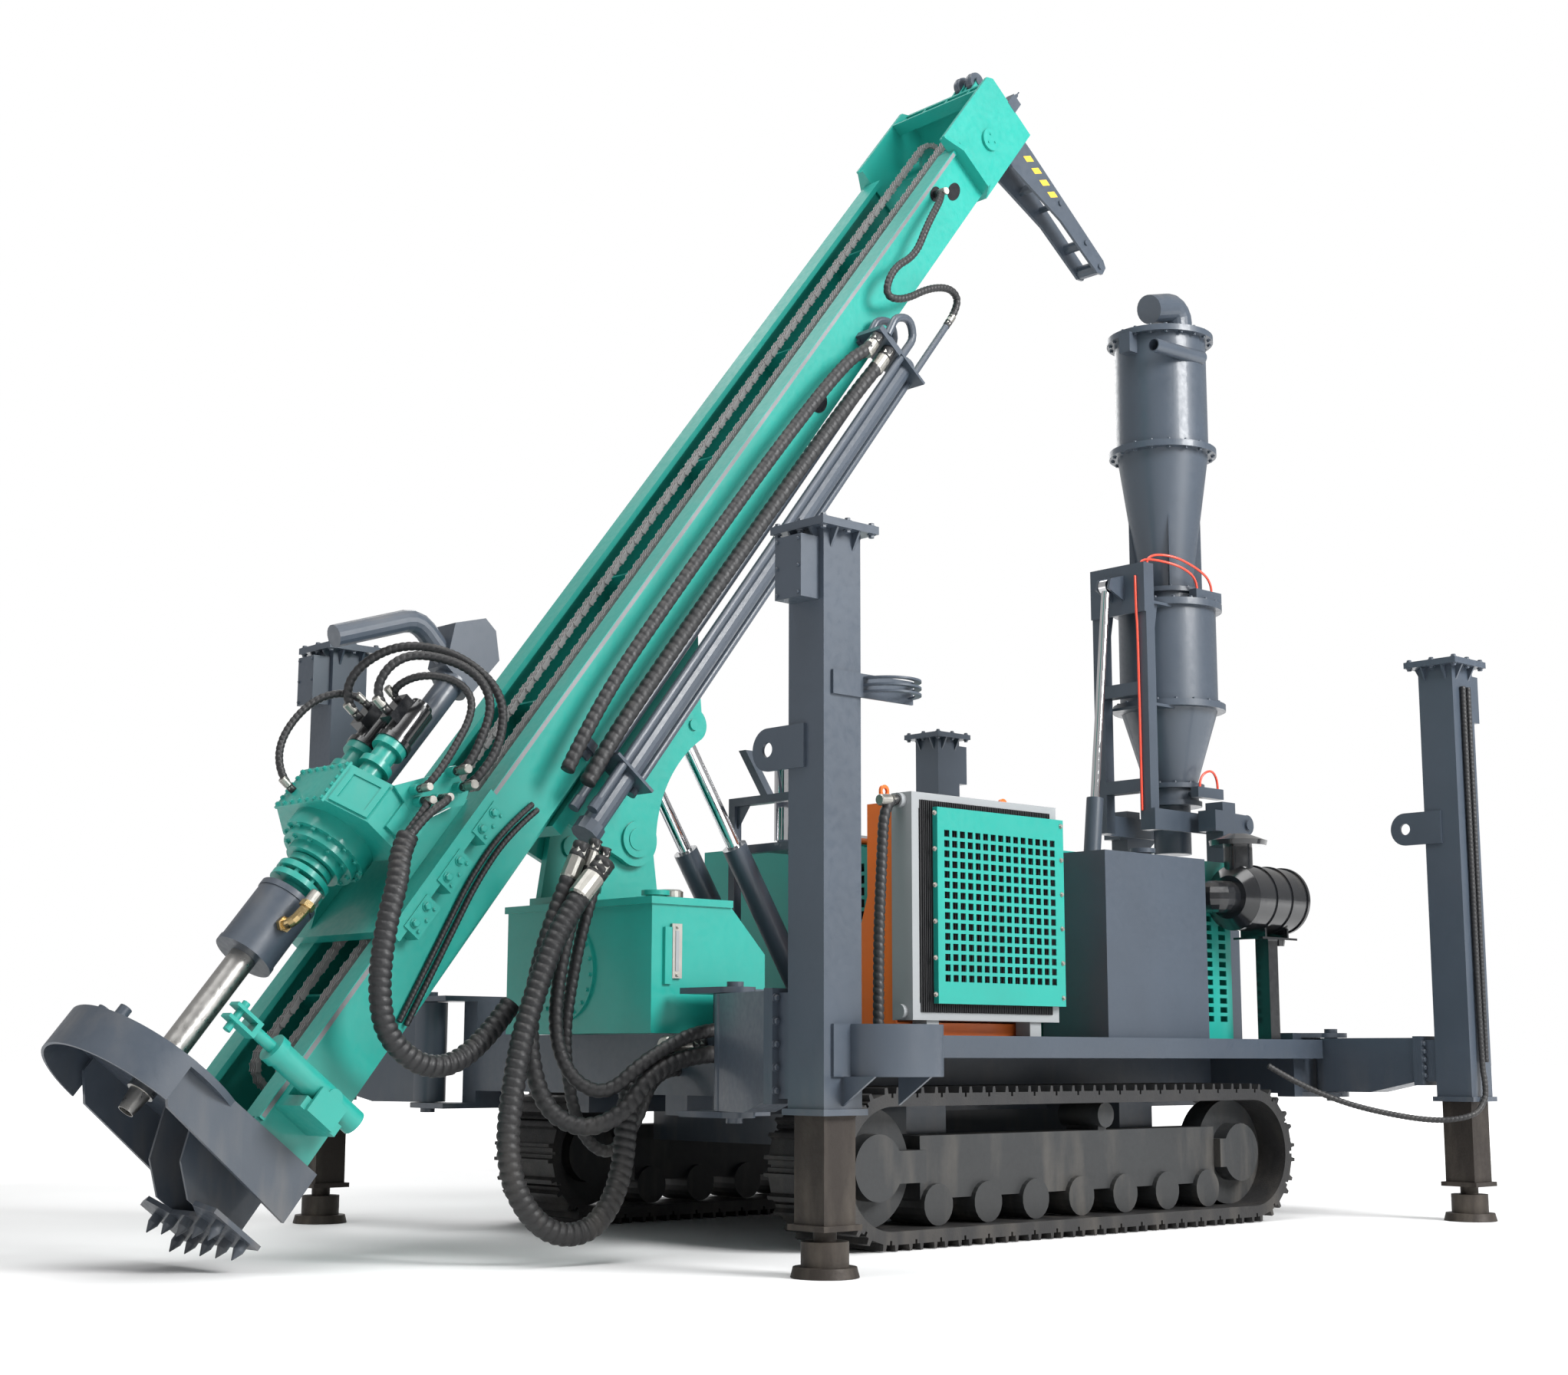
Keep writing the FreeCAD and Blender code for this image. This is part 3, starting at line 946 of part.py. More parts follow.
def breakout_cylinder():
    """Green breakout cylinder across the mast's foot, in its bolted trunnion bracket."""
    s, y = -1725.0, -480.0
    bits = [rod((s, y, -280), (s, y, 180), 52.0), rod((s, y, 170), (s, y, 300), 24.0)]
    bits.append(rod((s, y, 150), (s, y, 190), 60.0))
    for ds in (-34, 20):
        bits.append(plate_xz([(s + ds, 290), (s + ds + 14, 290), (s + ds + 14, 420), (s + ds, 420)],
                             y - 32, y + 32))
    bits.append(box(s - 34, s + 34, y - 32, y + 32, 284, 306))
    bits.append(rod((s - 70, y, 380), (s + 60, y, 380), 16.0))
    bits.append(rod((s, y - 66, -120), (s, -MAST_HALF - GAP, -120), 34.0))
    bits.append(box(s - 110, s + 70, -MAST_HALF - 60, -MAST_HALF - GAP, -220, -FLANGE_T - GAP))
    bits.append(box(s - 110, s - 60, y - 50, -MAST_HALF - GAP, -220, -FLANGE_T - GAP))
    bits.append(box(s - 110, s, y - 70, y - 55, -190, -50))
    bits.append(box(s - 110, s - 60, y - 70, y, -190, -50))
    return on_mast(fuse(bits))


# Carriage and rotary head

def carriage():
    """Plate on the rails with side bars and three clamps a side that grip the rail flanges."""
    bits = [box(CARRIAGE_S0, CARRIAGE_S1, -CARRIAGE_HALF, CARRIAGE_HALF, GAP, CARRIAGE_T)]
    for side in (-1, 1):
        y0, y1 = sorted((side * (FLANGE_OUT + GAP), side * CARRIAGE_HALF))
        bits.append(box(CARRIAGE_S0, CARRIAGE_S1, y0, y1, -FLANGE_T, CARRIAGE_T - 1))
        for s in CLAMP_S:
            c0, c1 = sorted((side * (MAST_HALF + CLEAR), side * CARRIAGE_HALF))
            bits.append(box(s - 85, s + 85, c0, c1, -FLANGE_T - 60, -FLANGE_T - GAP))
            bits.append(box(s - 85, s + 85, *sorted((side * (FLANGE_OUT + GAP), side * (CARRIAGE_HALF + 8))),
                            -FLANGE_T - 60, 0))
    for side in (-1, 1):
        y0, y1 = sorted((side * 250, side * 270))
        bits.append(plate_xz([(CARRIAGE_S0 + 40, CARRIAGE_T - 1), (CARRIAGE_S1 - 40, CARRIAGE_T - 1),
                              (BOX_S1, 150), (BOX_S0, 150)], y0, y1))
    return on_mast(fuse(bits))


def gearbox():
    """Rotary gearbox: flat lid, slanted framed sides, stepped nose, motor seats and hose plate."""
    outline = [(-BOX_HALF, BOX_SEAT_T + GAP), (BOX_HALF, BOX_SEAT_T + GAP), (BOX_HALF, BOX_SIDE_T),
               (BOX_TOP_HALF, BOX_T1), (-BOX_TOP_HALF, BOX_T1), (-BOX_HALF, BOX_SIDE_T)]
    bits = [plate_yz(outline, BOX_S0, BOX_S1)]
    lid = box(BOX_S0 - 8, BOX_S1 + 8, -BOX_TOP_HALF, BOX_TOP_HALF, BOX_T1 - 1, BOX_T1 + 10)
    bits.append(lid)
    for side in (-1, 1):
        bits.append(slanted_frame(side))
        y = side * MOTOR_Y
        for s0, s1, r in ((-1, 30, 74.0), (29, 90, 52.0), (89, 120, 74.0), (119, 195, 52.0),
                          (194, MOTOR_SEAT, 74.0)):
            bits.append(rod((BOX_S1 + s0, y, MOTOR_T), (BOX_S1 + s1, y, MOTOR_T), r))
    for s0, s1, r in NOSE:
        bits.append(rod((BOX_S0 - s0 + 1, 0, DRILL_T), (BOX_S0 - s1, 0, DRILL_T), r))
    plate = plate_xz(HOSE_PLATE, PLATE_Y, PLATE_Y + 14)
    bits.append(plate)
    bits.append(box(BOX_S0 + 40, BOX_S1 - 20, PLATE_Y + 1, -BOX_HALF + 1, 200, 300))
    for s, t in PLATE_PORTS:
        bits.append(bar((s, PLATE_Y - 45, t), (s, PLATE_Y + 2, t), 24.0))
    shape = fuse(bits)
    bore = rod((BOX_S0 - NOSE[-1][1] - 1, 0, DRILL_T), (BOX_S1 + 1, 0, DRILL_T), SPINDLE_R + PIN_FIT)
    return on_mast(shape.cut(bore))


def slanted_frame(side):
    """Raised border on one slanted side of the gearbox."""
    run, rise = BOX_HALF - BOX_TOP_HALF, BOX_SIDE_T - BOX_T1
    length = math.hypot(run, rise)
    frame = box(BOX_S0 + 12, BOX_S1 - 12, 12, length - 12, -2, 9)
    frame = frame.cut(box(BOX_S0 + 38, BOX_S1 - 38, 38, length - 38, 3, 10))
    frame.rotate(V(0, 0, 0), V(1, 0, 0), math.degrees(math.atan2(rise, run)))
    frame.translate(V(0, BOX_TOP_HALF, BOX_T1))
    return frame if side > 0 else frame.mirror(V(0, 0, 0), V(0, 1, 0))


def head_motors():
    """Two hydraulic motors on the gearbox, each a flange, a barrel and a port block."""
    motors = []
    s0 = BOX_S1 + MOTOR_SEAT + GAP
    for side in (-1, 1):
        y = side * MOTOR_Y
        motors.append(fuse([
            rod((s0, y, MOTOR_T), (s0 + 25, y, MOTOR_T), 80.0),
            rod((s0 + 24, y, MOTOR_T), (s0 + 210, y, MOTOR_T), 68.0),
            rod((s0 + 209, y, MOTOR_T), (s0 + 235, y, MOTOR_T), 50.0),
            box(s0 + 70, s0 + 200, y - 42, y + 42, MOTOR_T, MOTOR_T + 105),
        ]))
    return on_mast(Part.makeCompound(motors))


def gooseneck():
    """Sample discharge: riser, square deflector box and the bent outlet that points down."""
    t = DRILL_T
    s0 = BOX_S1 + GAP
    riser = tube((s0, 0, t), (200, 0, t), 58.0, 48.0)
    flange = tube((s0, 0, t), (s0 + 24, 0, t), 70.0, 48.0)
    flange2 = tube((170, 0, t), (200, 0, t), 86.0, 48.0)
    head = plate_xz([(195, t - 78), (410, t - 88), (500, t + 10), (505, t + 85), (375, t + 185), (195,
                                                                                                  t + 100)],
                    -72, 72)
    outlet = pipe_run([(250, 0, t + 60), (285, 0, t + 312), (-70, 0, t + 552)], 50.0, 110.0)
    return on_mast(fuse([riser, flange, flange2, head, outlet]))


def spindle_line(start, end, radius):
    """A turned length on the drill axis with its flushing bore."""
    return tube((start, 0, DRILL_T), (end, 0, DRILL_T), radius, SPINDLE_BORE)


def coupling():
    """Spindle through the gearbox with the flanged coupling below its nose."""
    nose = BOX_S0 - NOSE[-1][1]
    bits = [spindle_line(SWIVEL_S1 + GAP, BOX_S1, SPINDLE_R)]
    for s0, s1, r in ((nose - CLEAR - 28, nose - CLEAR, 98.0), (nose - 82, nose - 56, 118.0),
                      (nose - 128, nose - 102, 118.0)):
        bits.append(spindle_line(s0, s1, r))
    for i in range(8):
        turn = math.pi * i / 4
        y, t = 98 * math.cos(turn), DRILL_T + 98 * math.sin(turn)
        bits.append(bar((nose - 130, y, t), (nose - 54, y, t), 11.0, 6))
    return on_mast(fuse(bits))


def swivel():
    """Dark swivel housing with its two end rims."""
    bits = [spindle_line(SWIVEL_S0, SWIVEL_S1, SWIVEL_R - 4)]
    for s0, s1 in ((SWIVEL_S0, SWIVEL_S0 + 26), (SWIVEL_S1 - 26, SWIVEL_S1)):
        bits.append(spindle_line(s0, s1, SWIVEL_R))
    return on_mast(fuse(bits))


def drill_pipe():
    """Silver drill pipe with its threaded end cone."""
    string = rod((SWIVEL_S0 - GAP, 0, DRILL_T), (PIPE_END + 90, 0, DRILL_T), PIPE_R)
    string = string.fuse(cone((PIPE_END + 91, 0, DRILL_T), (PIPE_END, 0, DRILL_T), PIPE_R - 12, PIPE_R - 24))
    return on_mast(string.cut(rod((SWIVEL_S0, 0, DRILL_T), (PIPE_END - 1, 0, DRILL_T), SPINDLE_BORE)))


# Machinery on the deck

def hydraulic_tank():
    """Oil tank with a chamfered rear corner, lid, round cover, gauge and filler cap."""
    outline = [(OIL_X0, DECK_TOP + GAP), (OIL_X1, DECK_TOP + GAP), (OIL_X1, OIL_CUT_Z), (OIL_CUT_X,
                                                                                         OIL_TOP - 30),
               (OIL_X0, OIL_TOP - 30)]
    near = plate_xz(outline, OIL_Y0, OIL_STEP_Y)
    far = box(OIL_X0, OIL_FRONT_X, OIL_STEP_Y - 1, OIL_Y1, DECK_TOP + GAP, OIL_TOP - 30)
    lid = box(OIL_X0 - 12, OIL_CUT_X, OIL_Y0 - 12, OIL_STEP_Y, OIL_TOP - 31, OIL_TOP)
    lid_far = box(OIL_X0 - 12, OIL_FRONT_X, OIL_STEP_Y - 1, OIL_Y1 + 12, OIL_TOP - 31, OIL_TOP)
    cover = rod((OIL_X0 + 2, COVER_Y, COVER_Z), (OIL_X0 - 12, COVER_Y, COVER_Z), COVER_R)
    gauge = box(-2240, -2200, OIL_Y0 - 14, OIL_Y0 + 1, 1120, 1360)
    cap_x, cap_y = -2090.0, -560.0
    neck = rod((cap_x, cap_y, OIL_TOP - 2), (cap_x, cap_y, OIL_TOP + 26), 42.0)
    cap = rod((cap_x, cap_y, OIL_TOP + 25), (cap_x, cap_y, OIL_TOP + 46), 62.0)
    tank = fuse([near, far, lid, lid_far, cover, gauge, neck, cap])
    return tank


def engine_hood():
    """Hollow engine hood with grilled front and a lower wing beside the cyclone's stand."""
    wing_x1, wing_y1 = 1750.0, -345.0
    outer = box(HOOD_X0, HOOD_X1, HOOD_Y0, HOOD_Y1, DECK_TOP + GAP, HOOD_TOP)
    outer = outer.fuse(box(HOOD_X1 - 1, wing_x1, HOOD_Y0, wing_y1, DECK_TOP + GAP, HOOD_TOP))
    w = HOOD_WALL
    inner = box(HOOD_X0 + w, HOOD_X1 - w, HOOD_Y0 + w, HOOD_Y1 - w, DECK_TOP, HOOD_TOP - w)
    hood = outer.cut(inner)
    slots = []
    for row in range(9):
        z = 1250.0 + row * 58.0
        for col in range(10):
            y = HOOD_Y0 + 60.0 + col * 70.0
            slots.append(box(HOOD_X0 - 1, HOOD_X0 + w + 1, y, y + 46, z, z + 40))
    for row in range(8):
        z = 1200.0 + row * 70.0
        slots.append(box(HOOD_X0 + 200, HOOD_X1 - 200, HOOD_Y1 - w - 1, HOOD_Y1 + 1, z, z + 30))
    return hood.cut(Part.makeCompound(slots))


def engine_block():
    """The engine as one plain block under the hood."""
    return box(-350.0, 700.0, -280.0, 480.0, DECK_TOP + GAP, 1700.0)


def radiator():
    """Cooler core between a top and a bottom tank, on two feet."""
    bits = [box(RAD_X0, RAD_X1, RAD_Y0, RAD_Y1, RAD_Z0, RAD_Z0 + 75),
            box(RAD_X0, RAD_X1, RAD_Y0, RAD_Y1, RAD_Z1 - 75, RAD_Z1),
            box(RAD_X0, RAD_X0 + 45, RAD_Y0, RAD_Y1, RAD_Z0, RAD_Z1),
            box(RAD_X1 - 45, RAD_X1, RAD_Y0, RAD_Y1, RAD_Z0, RAD_Z1),
            box(RAD_X0 + 40, RAD_X1 - 40, RAD_Y0 + 30, RAD_Y1 - 20, RAD_Z0 + 70, RAD_Z1 - 70)]
    for x in (RAD_X0 + 150, RAD_X1 - 150):
        bits.append(box(x - 40, x + 40, RAD_Y0 + 20, RAD_Y1 - 20, DECK_TOP + GAP, RAD_Z0 + 1))
    y_mid = (RAD_Y0 + RAD_Y1) / 2
    bits.append(rod((RAD_X0 - 30, y_mid, RAD_Z1 - 38), (RAD_X0 + 1, y_mid, RAD_Z1 - 38), 34.0))
    bits.append(rod((RAD_X0 - 24, y_mid, RAD_Z0 + 38), (RAD_X0 + 1, y_mid, RAD_Z0 + 38), 34.0))
    bits.append(rod((RAD_X1 - 1, y_mid, RAD_Z0 + 38), (RAD_X1 + 40, y_mid, RAD_Z0 + 38), 30.0))
    return fuse(bits)


def radiator_grille():
    """Folded cover with a field of square holes, in front of the cooler."""
    t, depth = 5.0, 42.0
    x0, x1 = GRILLE_X0, RAD_X1 + 4
    y_out = RAD_Y0 - depth
    face = box(x0, x1, y_out, y_out + t, GRILLE_Z0, GRILLE_Z1)
    border_x, border_low, border_high = 46.0, 100.0, 88.0
    pitch_x = (x1 - x0 - 2 * border_x) / GRILLE_COLS
    pitch_z = (GRILLE_Z1 - GRILLE_Z0 - border_low - border_high) / GRILLE_ROWS
    hole = 0.66
    holes = []
    for col in range(GRILLE_COLS):
        for row in range(GRILLE_ROWS):
            x = x0 + border_x + col * pitch_x
            z = GRILLE_Z0 + border_low + row * pitch_z
            holes.append(box(x, x + pitch_x * hole, y_out - 1, y_out + t + 1, z, z + pitch_z * hole))
    face = face.cut(Part.makeCompound(holes))
    sides = [box(x0, x0 + t, y_out, RAD_Y0 - GAP, GRILLE_Z0, GRILLE_Z1),
             box(x1 - t, x1, y_out, RAD_Y0 - GAP, GRILLE_Z0, GRILLE_Z1),
             box(x0, x1, y_out, RAD_Y0 - GAP, GRILLE_Z0, GRILLE_Z0 + t),
             box(x0, x1, y_out, RAD_Y0 - GAP, GRILLE_Z1 - t, GRILLE_Z1)]
    return fuse([face] + sides)


def fan_shroud():
    """Orange fan shroud behind the cooler, wider at its foot, with two lifting eyes."""
    y0, y_top, y_low = RAD_Y1 + GAP, -700.0, HOOD_Y0 - 25.0
    side_plate = [(y0, DECK_TOP + GAP), (y_low, DECK_TOP + GAP), (y_low, DECK_TOP + 240), (y_top, 1560.0),
                  (y_top, 1990.0), (y0, 1990.0)]
    x0, x1 = RAD_X0 + 20, RAD_X1 - 10
    body = plate_yz(side_plate, x0, x1)
    inside = [(y0 - 1, DECK_TOP + 60), (y_low - 20, DECK_TOP + 60), (y_low - 20, DECK_TOP + 230),
              (y_top - 20, 1540.0), (y_top - 20, 1970.0), (y0 - 1, 1970.0)]
    bits = [body.cut(plate_yz(inside, x0 + 12, x1 - 12))]
    for x in (x0 + 60, x1 - 90):
        eye = box(x - 28, x + 28, y_top - 60, y_top - 46, 1988.0, 2055.0)
        eye = eye.fuse(rod((x, y_top - 60, 2055.0), (x, y_top - 46, 2055.0), 28.0))
        bits.append(eye.cut(rod((x, y_top - 61, 2052.0), (x, y_top - 45, 2052.0), 16.0)))
    return fuse(bits)


def fuel_tank():
    """Plain dark tank with a filler cap."""
    tank = box(FUEL_X0, FUEL_X1, FUEL_Y0, FUEL_Y1, DECK_TOP + GAP, FUEL_TOP)
    cap_x, cap_y = 1000.0, -800.0
    neck = rod((cap_x, cap_y, FUEL_TOP - 1), (cap_x, cap_y, FUEL_TOP + 30), 45.0)
    cap = rod((cap_x, cap_y, FUEL_TOP + 29), (cap_x, cap_y, FUEL_TOP + 52), 66.0)
    return fuse([tank, neck, cap])


def vent_cabinet():
    """Narrow cabinet behind the fuel tank with rows of oblong vents."""
    x0, x1, y0, y1 = CABINET_X0, CABINET_X1, CABINET_Y0, HOOD_Y0 - GAP
    body = box(x0, x1, y0, y1, DECK_TOP + GAP, 1870.0)
    body = body.cut(box(x0 + 8, x1 - 8, y0 + 8, y1 + 1, DECK_TOP + 20, 1862.0))
    vents = []
    for row in range(VENT_ROWS):
        z = VENT_Z + row * VENT_PITCH
        for x in (x0 + 90, x0 + 240, x1 - 110):
            vents.append(box(x, x + 62, y0 - 1, y0 + 9, z, z + 30))
    return body.cut(Part.makeCompound(vents))


def air_cleaner():
    """Black air cleaner drum on a post, with its rubber inlet, valve and mushroom cap."""
    x0, x1, y, z, r = AIR_X0, AIR_X1, AIR_Y, AIR_Z, AIR_R
    bits = [rod((x0, y, z), (x1, y, z), r), cone((x0 - 45, y, z), (x0 + 1, y, z), r - 60, r)]
    for x in (x0 + 150, x0 + 290, x1 - 18):
        bits.append(rod((x, y, z), (x + 18, y, z), r + 7))
    cap_x, cap_z = x0 + 55.0, z + r + 105.0
    bits.append(rod((cap_x, y, z + r - 40), (cap_x, y, cap_z), 76.0))
    bits.append(cone((cap_x, y, cap_z - 1), (cap_x, y, cap_z + 26), 148.0, 156.0))
    bits.append(cone((cap_x, y, cap_z + 25), (cap_x, y, cap_z + 62), 156.0, 60.0))
    inlet = [(x0 - 30, y, z), (AIR_PIPE_X, y, z), (AIR_PIPE_X, CABINET_Y0 - GAP, z)]
    bits.append(pipe_run(inlet, 85.0, 95.0))
    post_x = x0 + 285.0
    bits.append(box(post_x - 42, post_x + 42, y - 42, y + 42, DECK_TOP + GAP, z - r - 30))
    bits.append(box(post_x - 165, post_x + 150, y - 95, y + 95, z - r - 42, z - r - 30))
    for x in (post_x - 120, post_x + 80):
        bits.append(plate_yz([(y - 80, z - r - 31), (y + 80, z - r - 31), (y + 80, z - r + 45),
                              (y - 80, z - r + 45)],
                             x, x + 14))
    bits.append(cone((x1 - 40, y, z - r + 8), (x1 - 40, y, z - r - 70), 42.0, 26.0))
    return fuse(bits)


def exhaust():
    """Bright upright silencer in front of the hood, with the pipe that feeds it."""
    x, y, r = SILENCER_X, SILENCER_Y, SILENCER_R
    bits = [rod((x, y, SILENCER_Z0 + 45), (x, y, SILENCER_Z1), r),
            cone((x, y, SILENCER_Z0), (x, y, SILENCER_Z0 + 46), r - 32, r),
            rod((x, y, SILENCER_Z1 - 1), (x, y, SILENCER_Z1 + 16), r - 26)]
    feed_z = HOOD_TOP - 45
    feed = [(x, y - r + 8, feed_z + 40), (x, y - 285, feed_z), (HOOD_X0 - GAP, y - 285, feed_z)]
    bits.append(pipe_run(feed, 27.0, 70.0))
    return fuse(bits)


def railing():
    """Grey guard frame of square tube in front of the hood, that carries the silencer."""
    x0, x1 = RAIL_X - 22, RAIL_X + 22
    y0, y1 = SILENCER_Y - 290, 0.0
    bits = [box(x0, x1, y1 - 44, y1, DECK_TOP + GAP, RAIL_Z), box(x0, x1, y0, y0 + 44, DECK_TOP + GAP,
                                                                  RAIL_Z),
            box(x0, x1, y0, y1, RAIL_Z - 40, RAIL_Z), box(x0, x1, y0, y1, RAIL_LOW_Z, RAIL_LOW_Z + 40)]
    bits.append(plate_yz([(y1 - 43, RAIL_Z - 39), (y1 - 130, RAIL_Z - 39), (y1 - 43, RAIL_Z - 150)],
                         x0 + 18, x0 + 26))
    bits.append(plate_yz([(y1 - 230, RAIL_Z - 1), (y1 - 280, RAIL_Z - 1), (y1 - 120, RAIL_Z + 230),
                          (y1 - 70, RAIL_Z + 230)], x0, x1))
    shelf_x = SILENCER_X + SILENCER_R
    bits.append(box(x1 - 1, shelf_x, SILENCER_Y - 60, SILENCER_Y + 60, SILENCER_Z0 - 12 - GAP,
                    SILENCER_Z0 - GAP))
    return fuse(bits)


# Cyclone

def cyclone_stand():
    """Two posts on the tail beam with rest stubs, hinge lugs and the tilt cylinder's foot."""
    half = STAND_POST / 2
    bits = []
    base = DECK_TOP + GAP
    for side in (-1, 1):
        y = CYC_Y + side * STAND_HALF
        bits.append(box(CYC_X - half, CYC_X + half, y - half, y + half, base, TILT_Z + 110))
        bits.append(box(CYC_X - half - 70, CYC_X - half + 1, y - half, y + half, TILT_Z - 60, TILT_Z + 60))
        lug = plate_xz([(CYC_X + half - 1, TILT_Z - 220), (CYC_X + half - 1, TILT_Z + 60),
                        (TILT_X, TILT_Z + 55), (TILT_X + 20, TILT_Z - 50)], y - 14, y + 14)
        lug = lug.fuse(rod((TILT_X, y - 14, TILT_Z), (TILT_X, y + 14, TILT_Z), 58.0))
        bits.append(lug.cut(rod((TILT_X, y - 15, TILT_Z), (TILT_X, y + 15, TILT_Z), 30.0 + PIN_FIT)))
    bits.append(box(CYC_X - half, CYC_X + half, CYC_Y - STAND_HALF, CYC_Y + STAND_HALF, base, base + 110))
    stand = fuse(bits)
    feet = []
    for dy in (-44, 44):
        y = CYC_Y + dy
        feet.append(plate_xz([(TILT_BASE_X - 90, base), (TILT_BASE_X + 90, base), (TILT_BASE_X + 40,
                                                                                   TILT_BASE_Z + 42),
                              (TILT_BASE_X - 40, TILT_BASE_Z + 42)], y - 8, y + 8))
    feet.append(rod((TILT_BASE_X, CYC_Y - 58, TILT_BASE_Z), (TILT_BASE_X, CYC_Y + 58, TILT_BASE_Z), 20.0))
    return stand, fuse(feet)


# Cyclone's outline: radius, height
CYCLONE_PROFILE = [
    (0, 5112), (318, 5112), (318, 5076), (272, 5076), (272, 4407), (318, 4407), (318, 4369), (268, 4369),
    (150, 3545), (222, 3545), (222, 3517), (190, 3517), (190, 3458), (322, 3458), (322, 3418), (285, 3418),
    (285, 2860), (328, 2860), (328, 2822), (280, 2822), (150, 2390), (192, 2390), (192, 2362), (158, 2362),
    (158, 2292), (176, 2292), (176, 2262), (108, 2262), (108, 1985), (0, 1985),
]


def cyclone_body():
    """Cyclone: flanged cylinders and cones, top elbow, tangent inlet, gussets and gate cylinders."""
    bits = [revolve([(float(r), float(z)) for r, z in CYCLONE_PROFILE], CYC_X, CYC_Y)]
    top = CYCLONE_PROFILE[0][1]
    ex, ey = CYC_X + ELBOW_X, CYC_Y + ELBOW_Y
    elbow = [(ex, ey, top - 5), (ex, ey, top + 228), (ex - 275, ey, top + 150)]
    bits.append(pipe_run(elbow, ELBOW_R, 115.0, 2 * BAR_SIDES))
    inlet_y = CYC_Y - 262.0
    inlet = tube((CYC_X - 400, inlet_y, INLET_Z - 10), (CYC_X + 60, inlet_y, INLET_Z + 10), 41.0, 34.0)
    bits.append(inlet.cut(rod((CYC_X, CYC_Y, INLET_Z - 90), (CYC_X, CYC_Y, INLET_Z + 90), 265.0)))
    for i in range(4):
        fin = plate_xz([(150, 3544), (FIN_R, 3544), (FIN_R, 3990), (170, 3700)], -5, 5)
        fin = fin.fuse(plate_xz([(FIN_R, 3985), (FIN_R - 30, 3800), (FIN_R - 2, 3800)], -5, 5))
        fin.rotate(V(0, 0, 0), V(0, 0, 1), 45 + 90 * i)
        fin.translate(V(CYC_X, CYC_Y, 0))
        bits.append(fin)
    bits.append(box(CYC_X - 340, CYC_X - 262, CYC_Y - 40, CYC_Y + 40, top - 150, top - 30))
    for z, reach in GATES:
        y = CYC_Y - reach
        bits.append(box(CYC_X - 90, CYC_X + 150, y - 26, y + 26, z - 30, z + 30))
        bits.append(box(CYC_X - 40, CYC_X + 40, y, CYC_Y, z - 9, z + 9))
    return fuse(bits)


def cyclone_frame():
    """Ladder frame in front of the cyclone that hinges on the stand's lugs."""
    bits = []
    half = LADDER_POST / 2
    for side in (-1, 1):
        y = CYC_Y + side * LADDER_HALF
        bits.append(box(LADDER_X - half, LADDER_X + half, y - half, y + half, LADDER_Z0, LADDER_Z1))
        # the foot arm reaches back past the outlet to the hinge pin
        bits.append(plate_xz([(LADDER_X - half, TILT_Z - 60), (LADDER_X - half, TILT_Z + 60), (TILT_X,
                                                                                               TILT_Z + 55),
                              (TILT_X, TILT_Z - 55)], *sorted((CYC_Y + side * 205, CYC_Y + side * 225))))
        bits.append(rod((TILT_X, CYC_Y + side * 205, TILT_Z), (TILT_X, CYC_Y + side * 225, TILT_Z), 55.0))
        bits.append(box(LADDER_X - half, LADDER_X + half, *sorted((y, CYC_Y + side * 225)), TILT_Z - 60,
                        TILT_Z + 60))
        bits.append(rod((TILT_X, CYC_Y + side * 190, TILT_Z),
                        (TILT_X, CYC_Y + side * (STAND_HALF + 30), TILT_Z), 30.0))
    for z in RUNG_Z:
        bits.append(box(LADDER_X - half, LADDER_X + half, CYC_Y - LADDER_HALF, CYC_Y + LADDER_HALF, z,
                        z + 75))
    plate_y = LADDER_HALF + half
    bits.append(box(LADDER_X - half - 14, LADDER_X - half + 1, CYC_Y - plate_y, CYC_Y + plate_y,
                    PLATE_LOW_Z, LADDER_Z1))
    return bits


def cyclone_brackets():
    """Shelf and web brackets that tie the cyclone's flanges to the ladder frame."""
    half = LADDER_POST / 2
    bits = []
    for z in SHELF_Z:
        shelf = box(LADDER_X + half - 1, CYC_X - 150, CYC_Y - LADDER_HALF - half,
                    CYC_Y + LADDER_HALF + half, z - 16 - GAP, z - GAP)
        bits.append(shelf.cut(rod((CYC_X, CYC_Y, z - 17), (CYC_X, CYC_Y, z), SHELL_R + GAP)))
    for side in (-1, 1):
        y = CYC_Y + side * LADDER_HALF
        bits.append(plate_xz([(LADDER_X + half - 1, 3405), (LADDER_X + 105, 3405), (LADDER_X + half - 1,
                                                                                    3070)],
                             y - 7, y + 7))
    return bits


def cyclone_tilt_lug():
    """Clevis ears for the tilt cylinder's rod."""
    half = LADDER_POST / 2
    ears = []
    for dy in (-1, 1):
        y = CYC_Y + dy * 44
        ears.append(plate_xz([(LADDER_X - half - 13, TILT_LUG_Z - 75), (LADDER_X - half - 13,
                                                                        TILT_LUG_Z + 75),
                              (TILT_LUG_X - 20, TILT_LUG_Z + 40), (TILT_LUG_X - 40, TILT_LUG_Z - 20)],
                             y - 8, y + 8))
    return ears


